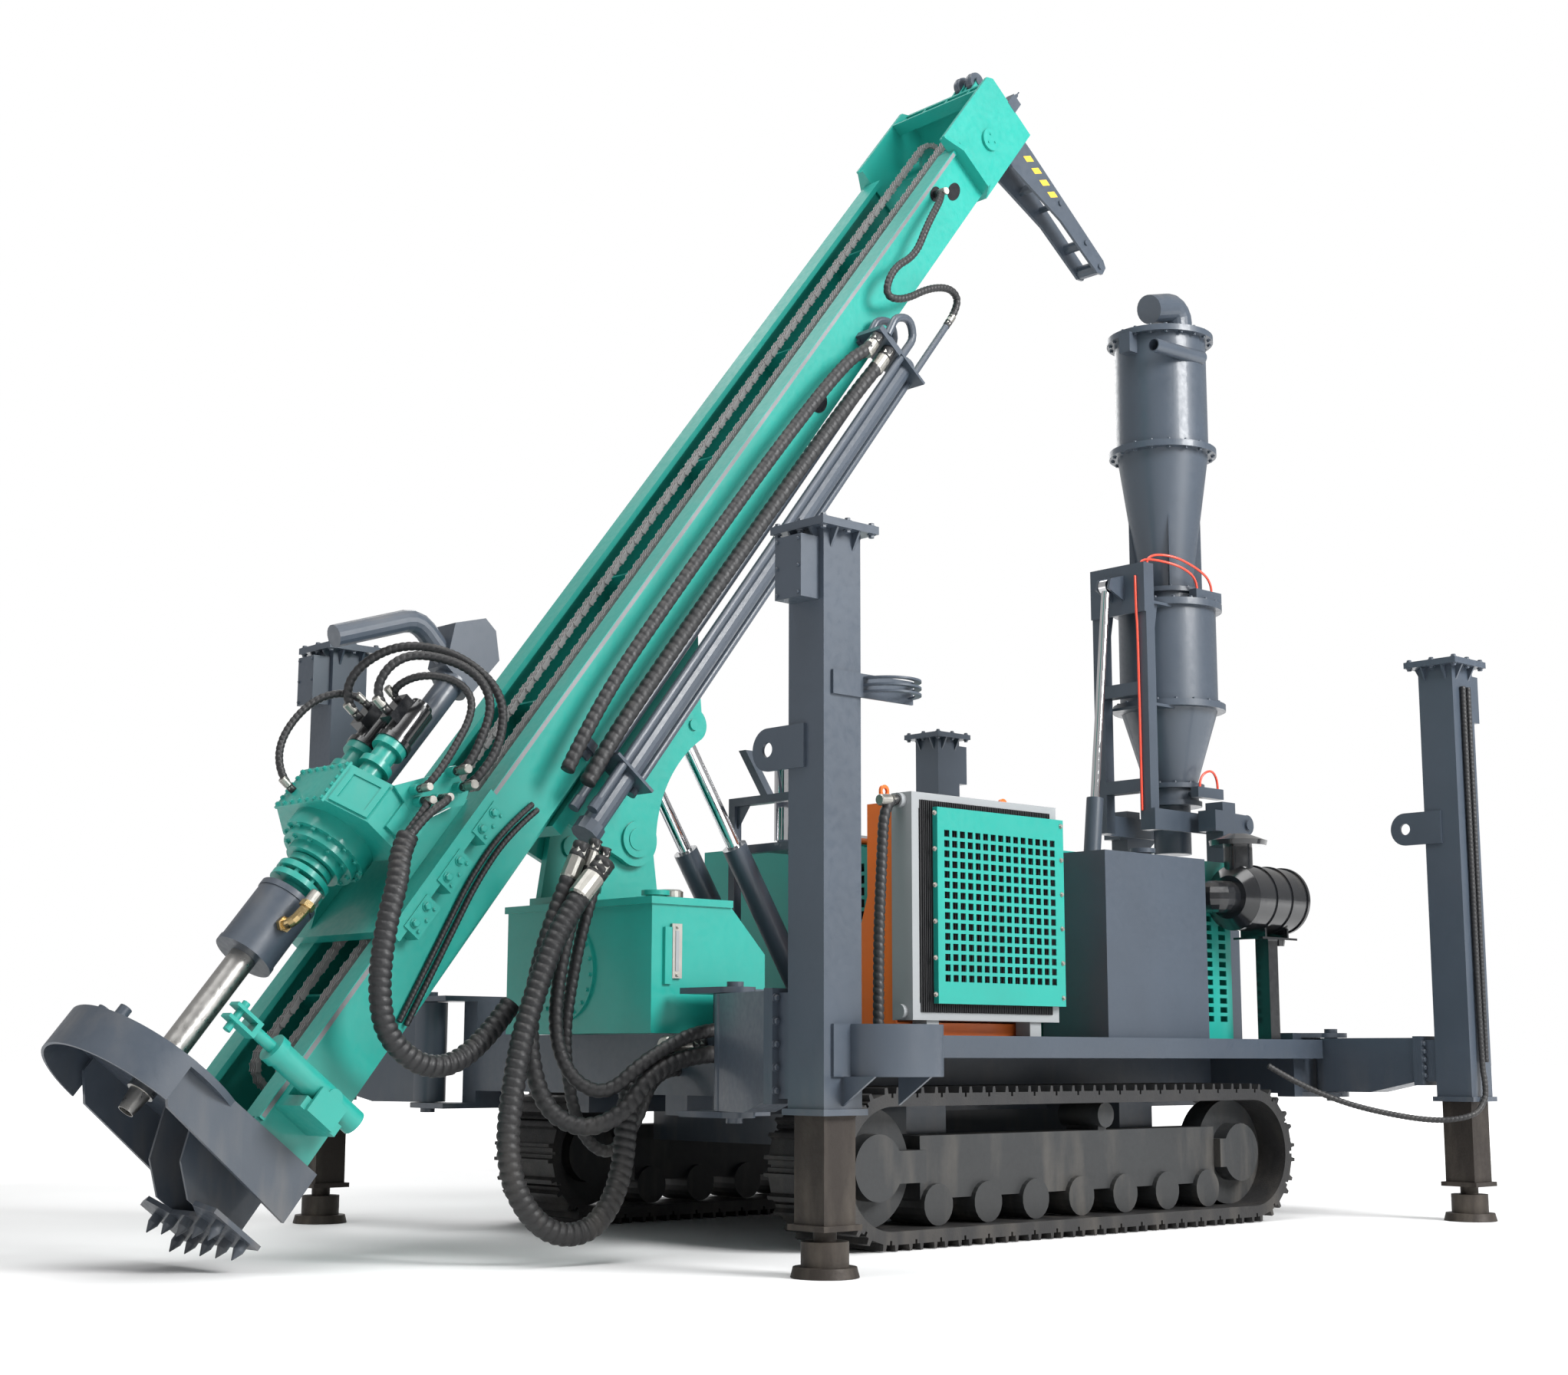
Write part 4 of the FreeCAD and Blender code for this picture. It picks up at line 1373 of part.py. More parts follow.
def tilt_cylinder():
    """Barrel with its base eye, and rod with its rod eye, in line between their pins."""
    base = V(TILT_BASE_X, CYC_Y, TILT_BASE_Z)
    top = V(TILT_LUG_X, CYC_Y, TILT_LUG_Z)
    way = (top - base).normalize()
    barrel = rod(tuple(base + way * 85), tuple(base + way * TILT_BARREL), TILT_BARREL_R)
    barrel = barrel.fuse(rod(tuple(base + way * 20), tuple(base + way * 86), 30.0))
    barrel = barrel.fuse(rod((base.x, CYC_Y - 30, base.z), (base.x, CYC_Y + 30, base.z), 42.0))
    barrel = barrel.cut(rod((base.x, CYC_Y - 40, base.z), (base.x, CYC_Y + 40, base.z), 20.0 + PIN_FIT))
    bore = rod(tuple(base + way * 110), tuple(base + way * (TILT_BARREL + 1)), TILT_ROD_R + PIN_FIT)
    stem = rod(tuple(base + way * (TILT_BARREL - TILT_ENGAGED)), tuple(top - way * 30), TILT_ROD_R)
    eye = rod((top.x, CYC_Y - 26, top.z), (top.x, CYC_Y + 26, top.z), 40.0)
    return barrel.cut(bore), stem.fuse(eye)


def build():
    """Makes and writes every sub-part."""
    save("chassis_frame", chassis_frame())
    for name, side in SIDES:
        save("track_" + name, track(side))
        save("track_frame_" + name, track_frame(side))
    for name, side, leg_x, leg_y, pin_x, pin_y, low, high in LEGS:
        save("arm_" + name, swing_arm(side, leg_x, leg_y, pin_x, pin_y, low, high))
        save("leg_" + name, outer_leg(side, leg_x, leg_y, -1 if leg_x < 0 else 1, low, high))
        save("foot_" + name, inner_leg(side, leg_x, leg_y))
    name, side, leg_x, leg_y = LEGS[0][:4]
    save("rod_rack", fuse(rod_rack(side, leg_x, leg_y)))
    cheeks, luff_feet = tower()
    save("tower", fuse([cheeks]))
    save("luff_brackets", luff_feet)
    save("slide_frame", slide_frame())
    barrels, rods = luff_cylinders()
    save("luff_barrels", barrels)
    save("luff_rods", rods)
    save("mast_beam", mast_beam())
    save("mast_crown", mast_crown())
    save("jib", jib())
    save("feed_chains", feed_chains())
    save("mast_pipes", mast_pipes())
    save("mast_hoses", mast_hoses())
    save("mast_foot", mast_foot())
    save("breakout_cylinder", breakout_cylinder())
    save("carriage", carriage())
    save("gearbox", gearbox())
    save("head_motors", head_motors())
    save("gooseneck", gooseneck())
    save("head_hoses", head_hoses())
    save("coupling", coupling())
    save("swivel", swivel())
    save("drill_pipe", drill_pipe())
    save("hydraulic_tank", hydraulic_tank())
    save("engine_hood", engine_hood())
    save("engine_block", engine_block())
    save("radiator", radiator())
    save("radiator_grille", radiator_grille())
    save("fan_shroud", fan_shroud())
    save("fuel_tank", fuel_tank())
    save("vent_cabinet", vent_cabinet())
    save("air_cleaner", air_cleaner())
    save("exhaust", exhaust())
    save("railing", railing())
    save("deck_hoses", deck_hoses())
    save("leg_hoses", leg_hoses())
    save("air_hoses", air_hoses())
    stand, tilt_foot = cyclone_stand()
    save("cyclone_stand", stand)
    save("tilt_bracket", tilt_foot)
    save("cyclone_body", cyclone_body())
    save("cyclone_frame", fuse(cyclone_frame() + cyclone_brackets() + cyclone_tilt_lug()))
    barrel, stem = tilt_cylinder()
    save("tilt_barrel", barrel)
    save("tilt_rod", stem)


build()
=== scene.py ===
"""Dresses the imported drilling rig: finishes, hoses, chains, bolts, floor, light and camera."""
import bpy
import bmesh
import json
import math
from mathutils import Vector, Matrix


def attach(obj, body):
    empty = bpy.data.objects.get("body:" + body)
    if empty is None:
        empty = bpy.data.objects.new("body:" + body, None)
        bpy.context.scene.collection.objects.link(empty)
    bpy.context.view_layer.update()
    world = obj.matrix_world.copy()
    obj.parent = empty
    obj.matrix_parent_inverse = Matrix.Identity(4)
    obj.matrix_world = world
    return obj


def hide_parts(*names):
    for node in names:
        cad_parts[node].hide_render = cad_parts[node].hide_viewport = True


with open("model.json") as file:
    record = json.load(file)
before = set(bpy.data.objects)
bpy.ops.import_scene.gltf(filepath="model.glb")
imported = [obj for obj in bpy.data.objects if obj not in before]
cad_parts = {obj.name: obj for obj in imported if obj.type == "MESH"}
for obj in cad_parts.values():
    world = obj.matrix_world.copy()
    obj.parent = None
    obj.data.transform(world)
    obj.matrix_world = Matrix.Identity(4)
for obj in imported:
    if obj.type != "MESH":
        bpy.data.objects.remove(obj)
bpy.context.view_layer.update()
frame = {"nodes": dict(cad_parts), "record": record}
NODES = frame["nodes"]

# Driving sizes, in metres, shared with the solids
MAST_ANGLE = math.radians(52.0)
MAST_OFF = 3.400
ORIGIN_X, ORIGIN_Y = -1.01998, -0.06015    # middle of the overall box, from the middle of the legs
ALONG = Vector((math.cos(MAST_ANGLE), 0, math.sin(MAST_ANGLE)))
OUT = Vector((-math.sin(MAST_ANGLE), 0, math.cos(MAST_ANGLE)))
ACROSS = Vector((0, 1, 0))


def rig(x, y, z):
    """A point given from the middle of the legs, in the row's frame."""
    return Vector((x - ORIGIN_X, y - ORIGIN_Y, z))


def mast(s, y, t):
    """A point given in mast measure: height along the mast, across it, in front of its rails."""
    return rig(0, 0, 0) + ALONG * s + ACROSS * y + OUT * (MAST_OFF + t)


# Colours, linear
GREEN = (0.009, 0.295, 0.245)
GREY = (0.047, 0.062, 0.084)
# darkened grey of the track frames: painted shade, where less light reaches under the rig
UNDER_SHADE_GREY = (0.017, 0.020, 0.023)
LIGHT_GREY = (0.27, 0.285, 0.295)
ORANGE = (0.80, 0.155, 0.012)
BLACK = (0.010, 0.011, 0.013)
STEEL = (0.52, 0.51, 0.49)
RAW = (0.030, 0.024, 0.021)
CHROME = (0.78, 0.78, 0.80)
BRASS = (0.58, 0.43, 0.21)
CHAIN_GREY = (0.42, 0.41, 0.41)
YELLOW = (0.75, 0.46, 0.03)
RED = (0.80, 0.065, 0.030)
DUST = (0.30, 0.26, 0.21)
RUBBER = (0.0115, 0.012, 0.0135)
ZINC = (0.40, 0.39, 0.36)
RAIL_STEEL = (0.20, 0.20, 0.21)


# Materials

# Noise scales of patches, streaks and gloss
PATCH_SCALE, STREAK_SCALE, GLOSS_SCALE = 2.2, 9.0, 34.0
STREAK_STRETCH = (1.0, 1.0, 0.22)                          # streaks run down the surface
PATCH_VALUE, PATCH_SATURATION = 0.66, 0.92                 # a patch beside its base colour
MUD_HEIGHT = 0.9                                           # below this height dust thickens
TOP_DUST = 0.75                                            # share of dust on what faces up
LEAST_STREAK = 0.18                                        # dust left where no streak runs
GLOSS_CHANGE = 0.07                                        # roughness up or down over the surface
DUSTY_ROUGHNESS = 0.4                                      # roughness that full dust adds
COAT_ROUGHNESS = 0.12
RELIEF_DEPTH = 0.004


def new_group(name, inputs, outputs):
    """An empty shader group with named float and colour sockets."""
    group = bpy.data.node_groups.new(name, "ShaderNodeTree")
    for label, kind, value in inputs:
        socket = group.interface.new_socket(label, in_out="INPUT", socket_type=kind)
        socket.default_value = value
    for label, kind in outputs:
        group.interface.new_socket(label, in_out="OUTPUT", socket_type=kind)
    return group, group.nodes.new("NodeGroupInput"), group.nodes.new("NodeGroupOutput")


def math_node(tree, operation, a, b, clamp=False):
    """A math node; a and b are sockets or numbers."""
    node = tree.nodes.new("ShaderNodeMath")
    node.operation = operation
    node.use_clamp = clamp
    for slot, value in enumerate((a, b)):
        if isinstance(value, (int, float)):
            node.inputs[slot].default_value = value
        else:
            tree.links.new(value, node.inputs[slot])
    return node.outputs[0]


def mix_colour(tree, share, a, b):
    """A colour mix; share is a socket, a and b are sockets or colours."""
    node = tree.nodes.new("ShaderNodeMix")
    node.data_type = "RGBA"
    tree.links.new(share, node.inputs[0])
    for slot, value in ((6, a), (7, b)):
        if isinstance(value, tuple):
            node.inputs[slot].default_value = (*value, 1.0)
        else:
            tree.links.new(value, node.inputs[slot])
    return node.outputs[2]


def noise(tree, scale, detail, stretch=(1, 1, 1)):
    """A noise value on object coordinates, stretched along its axes."""
    place = tree.nodes.new("ShaderNodeTexCoord")
    mapping = tree.nodes.new("ShaderNodeMapping")
    mapping.inputs["Scale"].default_value = stretch
    node = tree.nodes.new("ShaderNodeTexNoise")
    node.inputs["Scale"].default_value = scale
    node.inputs["Detail"].default_value = detail
    tree.links.new(place.outputs["Object"], mapping.inputs["Vector"])
    tree.links.new(mapping.outputs["Vector"], node.inputs["Vector"])
    return node.outputs[0]


def spread(tree, value, low, high, to_low=0.0, to_high=1.0):
    """Stretches a value's range and clamps it."""
    node = tree.nodes.new("ShaderNodeMapRange")
    tree.links.new(value, node.inputs["Value"])
    node.inputs["From Min"].default_value = low
    node.inputs["From Max"].default_value = high
    node.inputs["To Min"].default_value = to_low
    node.inputs["To Max"].default_value = to_high
    return node.outputs[0]


def wear_group():
    """Colour patches, dust on what faces up and near the ground, and uneven gloss."""
    inputs = [("Base", "NodeSocketColor", (0.5, 0.5, 0.5, 1)), ("Rough", "NodeSocketFloat", 0.4),
              ("Dust", "NodeSocketFloat", 0.2), ("Patch", "NodeSocketFloat", 0.15)]
    outputs = [("Colour", "NodeSocketColor"), ("Roughness", "NodeSocketFloat")]
    tree, enter, leave = new_group("surface_wear", inputs, outputs)
    patch = spread(tree, noise(tree, PATCH_SCALE, 5.0), 0.35, 0.68)
    streak = spread(tree, noise(tree, STREAK_SCALE, 4.0, STREAK_STRETCH), 0.48, 0.75)
    darker = tree.nodes.new("ShaderNodeHueSaturation")
    darker.inputs["Value"].default_value = PATCH_VALUE
    darker.inputs["Saturation"].default_value = PATCH_SATURATION
    tree.links.new(enter.outputs["Base"], darker.inputs["Color"])
    shade = math_node(tree, "MULTIPLY", patch, enter.outputs["Patch"])
    tinted = mix_colour(tree, shade, enter.outputs["Base"], darker.outputs[0])
    geometry = tree.nodes.new("ShaderNodeNewGeometry")
    parts = tree.nodes.new("ShaderNodeSeparateXYZ")
    tree.links.new(geometry.outputs["Normal"], parts.inputs[0])
    upward = spread(tree, parts.outputs["Z"], 0.15, 0.95)
    place = tree.nodes.new("ShaderNodeTexCoord")
    at = tree.nodes.new("ShaderNodeSeparateXYZ")
    tree.links.new(place.outputs["Object"], at.inputs[0])
    low = spread(tree, at.outputs["Z"], MUD_HEIGHT, 0.0)
    cover = math_node(tree, "MAXIMUM", math_node(tree, "MULTIPLY", upward, TOP_DUST), low)
    cover = math_node(tree, "MULTIPLY", cover, math_node(tree, "ADD", streak, LEAST_STREAK, True))
    dust = math_node(tree, "MULTIPLY", cover, enter.outputs["Dust"], True)
    colour = mix_colour(tree, dust, tinted, DUST)
    tree.links.new(colour, leave.inputs["Colour"])
    fine = spread(tree, noise(tree, GLOSS_SCALE, 3.0), 0.3, 0.7, -GLOSS_CHANGE, GLOSS_CHANGE)
    rough = math_node(tree, "ADD", enter.outputs["Rough"], fine)
    rough = math_node(tree, "ADD", rough, math_node(tree, "MULTIPLY", dust, DUSTY_ROUGHNESS), True)
    tree.links.new(rough, leave.inputs["Roughness"])
    return tree


WEAR = wear_group()


def material(name, base, rough, metallic=0.0, coat=0.0, dust=0.2, patch=0.2, bump=0.06, grain=220.0,
             stretch=(1, 1, 1)):
    """A finish of one base colour with wear, dust and a fine surface texture."""
    made = bpy.data.materials.new(name)
    made.use_nodes = True
    tree = made.node_tree
    shader = tree.nodes["Principled BSDF"]
    shader.inputs["Metallic"].default_value = metallic
    shader.inputs["Coat Weight"].default_value = coat
    shader.inputs["Coat Roughness"].default_value = COAT_ROUGHNESS
    wear = tree.nodes.new("ShaderNodeGroup")
    wear.node_tree = WEAR
    wear.inputs["Base"].default_value = (*base, 1.0)
    wear.inputs["Rough"].default_value = rough
    wear.inputs["Dust"].default_value = dust
    wear.inputs["Patch"].default_value = patch
    tree.links.new(wear.outputs["Colour"], shader.inputs["Base Color"])
    tree.links.new(wear.outputs["Roughness"], shader.inputs["Roughness"])
    relief = tree.nodes.new("ShaderNodeBump")
    relief.inputs["Strength"].default_value = bump
    relief.inputs["Distance"].default_value = RELIEF_DEPTH
    tree.links.new(noise(tree, grain, 3.0, stretch), relief.inputs["Height"])
    tree.links.new(relief.outputs["Normal"], shader.inputs["Normal"])
    return made


FINISH = {
    "green": material("green_paint", GREEN, 0.38, coat=0.25, dust=0.22, patch=0.28, bump=0.05,
                      grain=90.0),
    "dark_grey": material("grey_paint", GREY, 0.42, coat=0.2, dust=0.30, patch=0.35, bump=0.05,
                          grain=90.0),
    # the undercarriage's grey made darker as painted shade
    "under_shade_grey": material("undercarriage_painted_shade", UNDER_SHADE_GREY, 0.5, dust=0.22, patch=0.5, bump=0.15,
                           grain=60.0),
    "light_grey": material("light_grey_paint", LIGHT_GREY, 0.5, bump=0.05),
    "orange": material("orange_paint", ORANGE, 0.45, coat=0.1, dust=0.15, patch=0.3, bump=0.05),
    "black": material("black_gloss", BLACK, 0.18, coat=0.5, dust=0.15, bump=0.02),
    "steel": material("machined_steel", STEEL, 0.32, metallic=1.0, dust=0.12, patch=0.5, bump=0.12,
                      grain=60.0, stretch=(1, 1, 0.1)),
    "raw_steel": material("raw_steel", RAW, 0.55, metallic=0.55, dust=0.25, patch=0.8, bump=0.25,
                          grain=70.0),
    "chrome": material("chrome", CHROME, 0.09, metallic=1.0, dust=0.04, patch=0.08, bump=0.01),
    "rubber": material("worn_rubber", RUBBER, 0.52, dust=0.12, patch=0.4, bump=0.3, grain=120.0),
    "chain": material("oiled_chain", CHAIN_GREY, 0.45, metallic=0.25, dust=0.1, patch=0.5, bump=0.2,
                      grain=150.0),
    "red": material("red_air_line", RED, 0.35, coat=0.2, dust=0.1, bump=0.02),
    "zinc": material("zinc_fitting", ZINC, 0.40, metallic=1.0, dust=0.15, patch=0.5, bump=0.08),
    "rail": material("worn_rail", RAIL_STEEL, 0.45, metallic=0.5, dust=0.1, patch=0.8, bump=0.1),
    "yellow": material("yellow_stripe", YELLOW, 0.5, dust=0.1, bump=0.02),
    "brass": material("plated_brass", BRASS, 0.28, metallic=1.0, dust=0.1, patch=0.5, bump=0.08),
}

# Solids given a darker finish than their slot, as painted shade: the track frames lie low under the
# rig in less light
SHADED_FINISHES = {"track_frame_left": "under_shade_grey", "track_frame_right": "under_shade_grey"}


def finish_nodes():
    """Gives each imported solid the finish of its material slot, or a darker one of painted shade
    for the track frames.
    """
    for row in frame["record"]["subparts"]:
        mesh = NODES[row["node"]].data
        mesh.materials.clear()
        mesh.materials.append(FINISH[SHADED_FINISHES.get(row["node"], row["material_slot"])])


# Pieces that the solids leave plain

def piece(name, shape, body, finish):
    """Turns a bmesh into a named piece that rides on a body."""
    mesh = bpy.data.meshes.new(name)
    bmesh.ops.recalc_face_normals(shape, faces=shape.faces)
    shape.to_mesh(mesh)
    shape.free()
    made = bpy.data.objects.new(name, mesh)
    bpy.context.scene.collection.objects.link(made)
    made.data.materials.append(FINISH[finish])
    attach(made, body)
    return made


def across(way):
    """Two unit directions square to a way and to each other."""
    side = way.orthogonal().normalized()
    return side, way.cross(side).normalized()


def loft(shape, rings):
    """Joins rings of points into a closed skin with flat ends."""
    made = [[shape.verts.new(point) for point in ring] for ring in rings]
    for low, high in zip(made, made[1:]):
        for i in range(len(low)):
            n = (i + 1) % len(low)
            shape.faces.new((low[i], low[n], high[n], high[i]))
    shape.faces.new(made[0])
    shape.faces.new(made[-1])


def turned(shape, at, way, profile, sides):
    """A turned or many-sided piece: profile is a row of distances along the way and radii."""
    side, up = across(way)
    rings = []
    for distance, radius in profile:
        centre = at + way * distance
        rings.append([centre + (side * math.cos(a) + up * math.sin(a)) * radius
                      for a in (2 * math.pi * i / sides for i in range(sides))])
    loft(shape, rings)


def block(shape, corner_points, way, depth):
    """A flat many-cornered plate of a given depth."""
    loft(shape, [corner_points, [point + way * depth for point in corner_points]])


SUNK = 0.001               # how far a washer reaches into the face it lies on
WASHER_SIDES, HEAD_SIDES = 12, 6
WASHER_HIGH = 0.28         # washer's height, as a share of the head's radius


def bolt(shape, at, way, size):
    """A hexagon head on its washer; size is the head's radius."""
    washer = size * WASHER_HIGH
    turned(shape, at, way, ((-SUNK, size * 1.35), (washer, size * 1.3)), WASHER_SIDES)
    turned(shape, at, way, ((washer, size), (size * 0.95, size), (size * 1.12, size * 0.78)),
           HEAD_SIDES)


def bolt_circle(shape, centre, way, radius, count, size):
    """A ring of bolts."""
    side, up = across(way)
    for i in range(count):
        a = 2 * math.pi * i / count
        bolt(shape, centre + (side * math.cos(a) + up * math.sin(a)) * radius, way, size)


def bolt_row(shape, start, end, way, count, size):
    """A straight row of bolts from start to end."""
    for i in range(count):
        bolt(shape, start.lerp(end, i / max(count - 1, 1)), way, size)


# Hoses

ROUTE_STEPS = 10           # points read from each span of a route


def route_line(points):
    """Points of the smooth line along a route, read from its own spline."""
    curve = bpy.data.curves.new("route", "CURVE")
    curve.dimensions = "3D"
    spline = curve.splines.new("NURBS")
    spline.points.add(len(points) - 1)
    for target, point in zip(spline.points, points):
        target.co = (*point, 1.0)
    spline.order_u = 3
    spline.use_endpoint_u = True
    spline.resolution_u = ROUTE_STEPS
    holder = bpy.data.objects.new("route", curve)
    mesh = bpy.data.meshes.new_from_object(holder)
    line = [vertex.co.copy() for vertex in mesh.vertices]
    bpy.data.objects.remove(holder)
    bpy.data.meshes.remove(mesh)
    return line


def even_steps(line, step):
    """The same line as evenly spaced points, with the distance of each."""
    total = sum((b - a).length for a, b in zip(line, line[1:]))
    count = max(2, round(total / step))
    out, passed, index = [], 0.0, 0
    for k in range(count + 1):
        want = total * k / count
        while index < len(line) - 2 and passed + (line[index + 1] - line[index]).length < want:
            passed += (line[index + 1] - line[index]).length
            index += 1
        run = line[index + 1] - line[index]
        share = (want - passed) / run.length
        out.append((line[index] + run * min(max(share, 0.0), 1.0), want))
    return out


HOSE_SIDES = 14
GROOVE = 0.20              # depth of the guard's groove, as a share of the radius
BAND_ROUNDING = 0.45       # below 1 the guard's bands are flatter than a sine
STEPS_A_TURN = 8
PLAIN_STEP = 0.8           # spacing of a plain hose's rings, as a share of the radius


def guard_reach(radius, pitch, distance, turn):
    """Radius of a hose's skin; turn is the share of a circle round it."""
    if not pitch:
        return radius
    band = math.sin(math.pi * ((distance / pitch + turn) % 1.0))
    return radius * (1.0 - GROOVE + GROOVE * band ** BAND_ROUNDING)


def hose_skin(shape, line, radius, pitch):
    """A hose in a spiral guard of rounded bands, pitch apart; plain where pitch is 0."""
    stations = even_steps(line, pitch / STEPS_A_TURN if pitch else radius * PLAIN_STEP)
    rings, side = [], None
    for k, (at, distance) in enumerate(stations):
        before = stations[max(k - 1, 0)][0]
        after = stations[min(k + 1, len(stations) - 1)][0]
        way = (after - before).normalized()
        side = across(way)[0] if side is None else (side - way * side.dot(way)).normalized()
        up = way.cross(side)
        ring = []
        for i in range(HOSE_SIDES):
            a = 2 * math.pi * i / HOSE_SIDES
            reach = guard_reach(radius, pitch, distance, i / HOSE_SIDES)
            ring.append(at + (side * math.cos(a) + up * math.sin(a)) * reach)
        rings.append(ring)
    loft(shape, rings)


# Turned parts of a hose's end: sides, then distance and radius, both as shares of the hose's radius
HOSE_END = (
    (12, ((0.0, 0.62), (0.5, 0.62))),
    (6, ((0.5, 0.98), (1.5, 0.98))),
    (16, ((1.5, 0.70), (1.9, 1.04), (4.2, 1.04), (4.4, 0.9))),
)


def hose_end(shape, at, way, radius):
    """Crimped ferrule and hexagon nut where a hose leaves its port."""
    for sides, profile in HOSE_END:
        turned(shape, at, way, [(radius * distance, radius * reach) for distance, reach in profile],
               sides)


# Radius, pitch of the guard, fitted ends (start, end) and the corners of each route, in metres
MAST_HOSES = (
    (0.033, 0.042, (1, 0), (
        (3.11, -0.462, -0.205), (3.0, -0.462, -0.205), (2.84, -0.462, -0.14), (2.1, -0.462, -0.105),
        (1.0, -0.462, -0.098), (0.4, -0.462, -0.112), (0.06, -0.462, -0.17))),
    (0.038, 0.046, (1, 0), (
        (3.11, -0.462, -0.3), (3.0, -0.462, -0.3), (2.7, -0.462, -0.28), (1.8, -0.462, -0.262),
        (0.9, -0.462, -0.258), (0.3, -0.462, -0.262), (0.09, -0.462, -0.285))),
    (0.020, 0.027, (1, 1), (
        (4.215, -0.3253, -0.07), (4.215, -0.4, -0.07), (3.9, -0.44, -0.08), (3.69, -0.445, -0.125),
        (3.5, -0.445, -0.06), (3.33, -0.445, -0.11), (3.42, -0.445, -0.215), (3.64, -0.445, -0.3),
        (3.79, -0.43, -0.42), (3.79, -0.4, -0.53), (3.6103, -0.4, -0.53))),
    (0.013, 0.020, (0, 0), (
        (-0.11, -0.3383, -0.19), (-0.3, -0.3383, -0.145), (-0.56, -0.3383, -0.15),
        (-0.8, -0.3383, -0.19), (-1.24, -0.3383, -0.262))),
    (0.013, 0.020, (0, 0), (
        (-0.11, -0.3383, -0.225), (-0.29, -0.3383, -0.18), (-0.55, -0.3383, -0.185),
        (-0.79, -0.3383, -0.225), (-1.23, -0.3383, -0.297))),
)
HEAD_HOSES = (
    (0.046, 0.036, (0, 0), (
        (-0.7, -0.47, 0.25), (-0.78, -0.48, 0.24), (-0.9, -0.54, 0.2), (-1.075, -0.556, 0.14),
        (-1.3, -0.556, 0.0), (-1.42, -0.556, -0.16), (-1.39, -0.556, -0.4), (-1.18, -0.556, -0.52),
        (-0.94, -0.556, -0.525))),
    (0.018, 0.025, (1, 0), (
        (-0.505, -0.3973, 0.255), (-0.505, -0.45, 0.255), (-0.6, -0.45, 0.25),
        (-0.6997, -0.45, 0.25))),
    (0.018, 0.025, (1, 0), (
        (-0.44, -0.3973, 0.2), (-0.44, -0.49, 0.2), (-0.56, -0.49, 0.24), (-0.65, -0.49, 0.25),
        (-0.6997, -0.49, 0.25))),
    (0.020, 0.027, (1, 1), (
        (-0.19, -0.115, 0.5053), (-0.19, -0.115, 0.6), (-0.06, -0.15, 0.65), (0.06, -0.2, 0.6),
        (0.13, -0.33, 0.42), (0.04, -0.44, 0.28), (-0.2, -0.45, 0.215), (-0.3, -0.45, 0.215),
        (-0.3, -0.3973, 0.215))),
    (0.020, 0.027, (1, 1), (
        (-0.19, 0.115, 0.5053), (-0.19, 0.115, 0.61), (-0.06, 0.06, 0.68), (0.13, -0.04, 0.62),
        (0.21, -0.2, 0.44), (0.11, -0.42, 0.26), (-0.1, -0.47, 0.15), (-0.33, -0.47, 0.15),
        (-0.33, -0.3973, 0.15))),
    (0.017, 0.024, (1, 1), (
        (-0.12, -0.115, 0.5053), (-0.12, -0.115, 0.56), (-0.04, -0.26, 0.56), (0.02, -0.38, 0.44),
        (-0.04, -0.43, 0.33), (-0.3, -0.45, 0.3), (-0.48, -0.45, 0.3), (-0.48, -0.3973, 0.3))),
    (0.017, 0.024, (1, 1), (
        (-0.64, 0.13, 0.5303), (-0.64, 0.13, 0.62), (-0.48, 0.2, 0.7), (-0.25, 0.18, 0.7),
        (-0.12, 0.115, 0.6), (-0.12, 0.115, 0.5053))),
)
DECK_HOSES = (
    (0.038, 0.041, (1, 0), (
        (-2.57, -0.66, 1.7), (-2.69, -0.66, 1.44), (-2.79, -0.665, 1.18), (-2.85, -0.68, 0.9),
        (-2.8, -0.72, 0.62), (-2.66, -0.8, 0.52), (-2.5, -0.87, 0.58), (-2.38, -0.905, 0.76),
        (-2.15, -0.915, 0.83), (-2.0203, -0.915, 0.83))),
    (0.030, 0.037, (1, 0), (
        (-2.49, -0.65, 1.72), (-2.6, -0.655, 1.44), (-2.68, -0.665, 1.18), (-2.73, -0.7, 0.9),
        (-2.68, -0.76, 0.72), (-2.56, -0.84, 0.66), (-2.42, -0.9, 0.8), (-2.15, -0.915, 0.93),
        (-2.0203, -0.915, 0.93))),
    (0.026, 0.034, (1, 0), (
        (-2.43, -0.642, 1.69), (-2.52, -0.642, 1.44), (-2.59, -0.642, 1.18), (-2.64, -0.642, 0.86),
        (-2.56, -0.642, 0.52), (-2.4, -0.642, 0.4), (-2.25, -0.642, 0.52), (-2.15, -0.642, 0.76),
        (-2.0203, -0.642, 0.76))),
    (0.026, 0.034, (1, 0), (
        (-0.9803, -0.945, 1.987), (-1.06, -0.945, 1.987), (-1.085, -0.95, 1.7), (-1.12, -0.96, 1.3),
        (-1.12, -0.96, 0.9163))),
)
LEG_HOSES = (
    (0.015, 0.022, (0, 0), (
        (2.235, -1.9811, 2.76), (2.235, -1.9811, 0.8), (2.235, -2.001, 0.69), (2.225, -2.001, 0.6),
        (2.11, -1.99, 0.52), (1.95, -1.8, 0.5), (1.6, -1.42, 0.62), (1.4, -1.26, 0.78))),
    (0.015, 0.022, (0, 0), (
        (2.285, -1.9811, 2.76), (2.285, -1.9811, 0.8))),
)
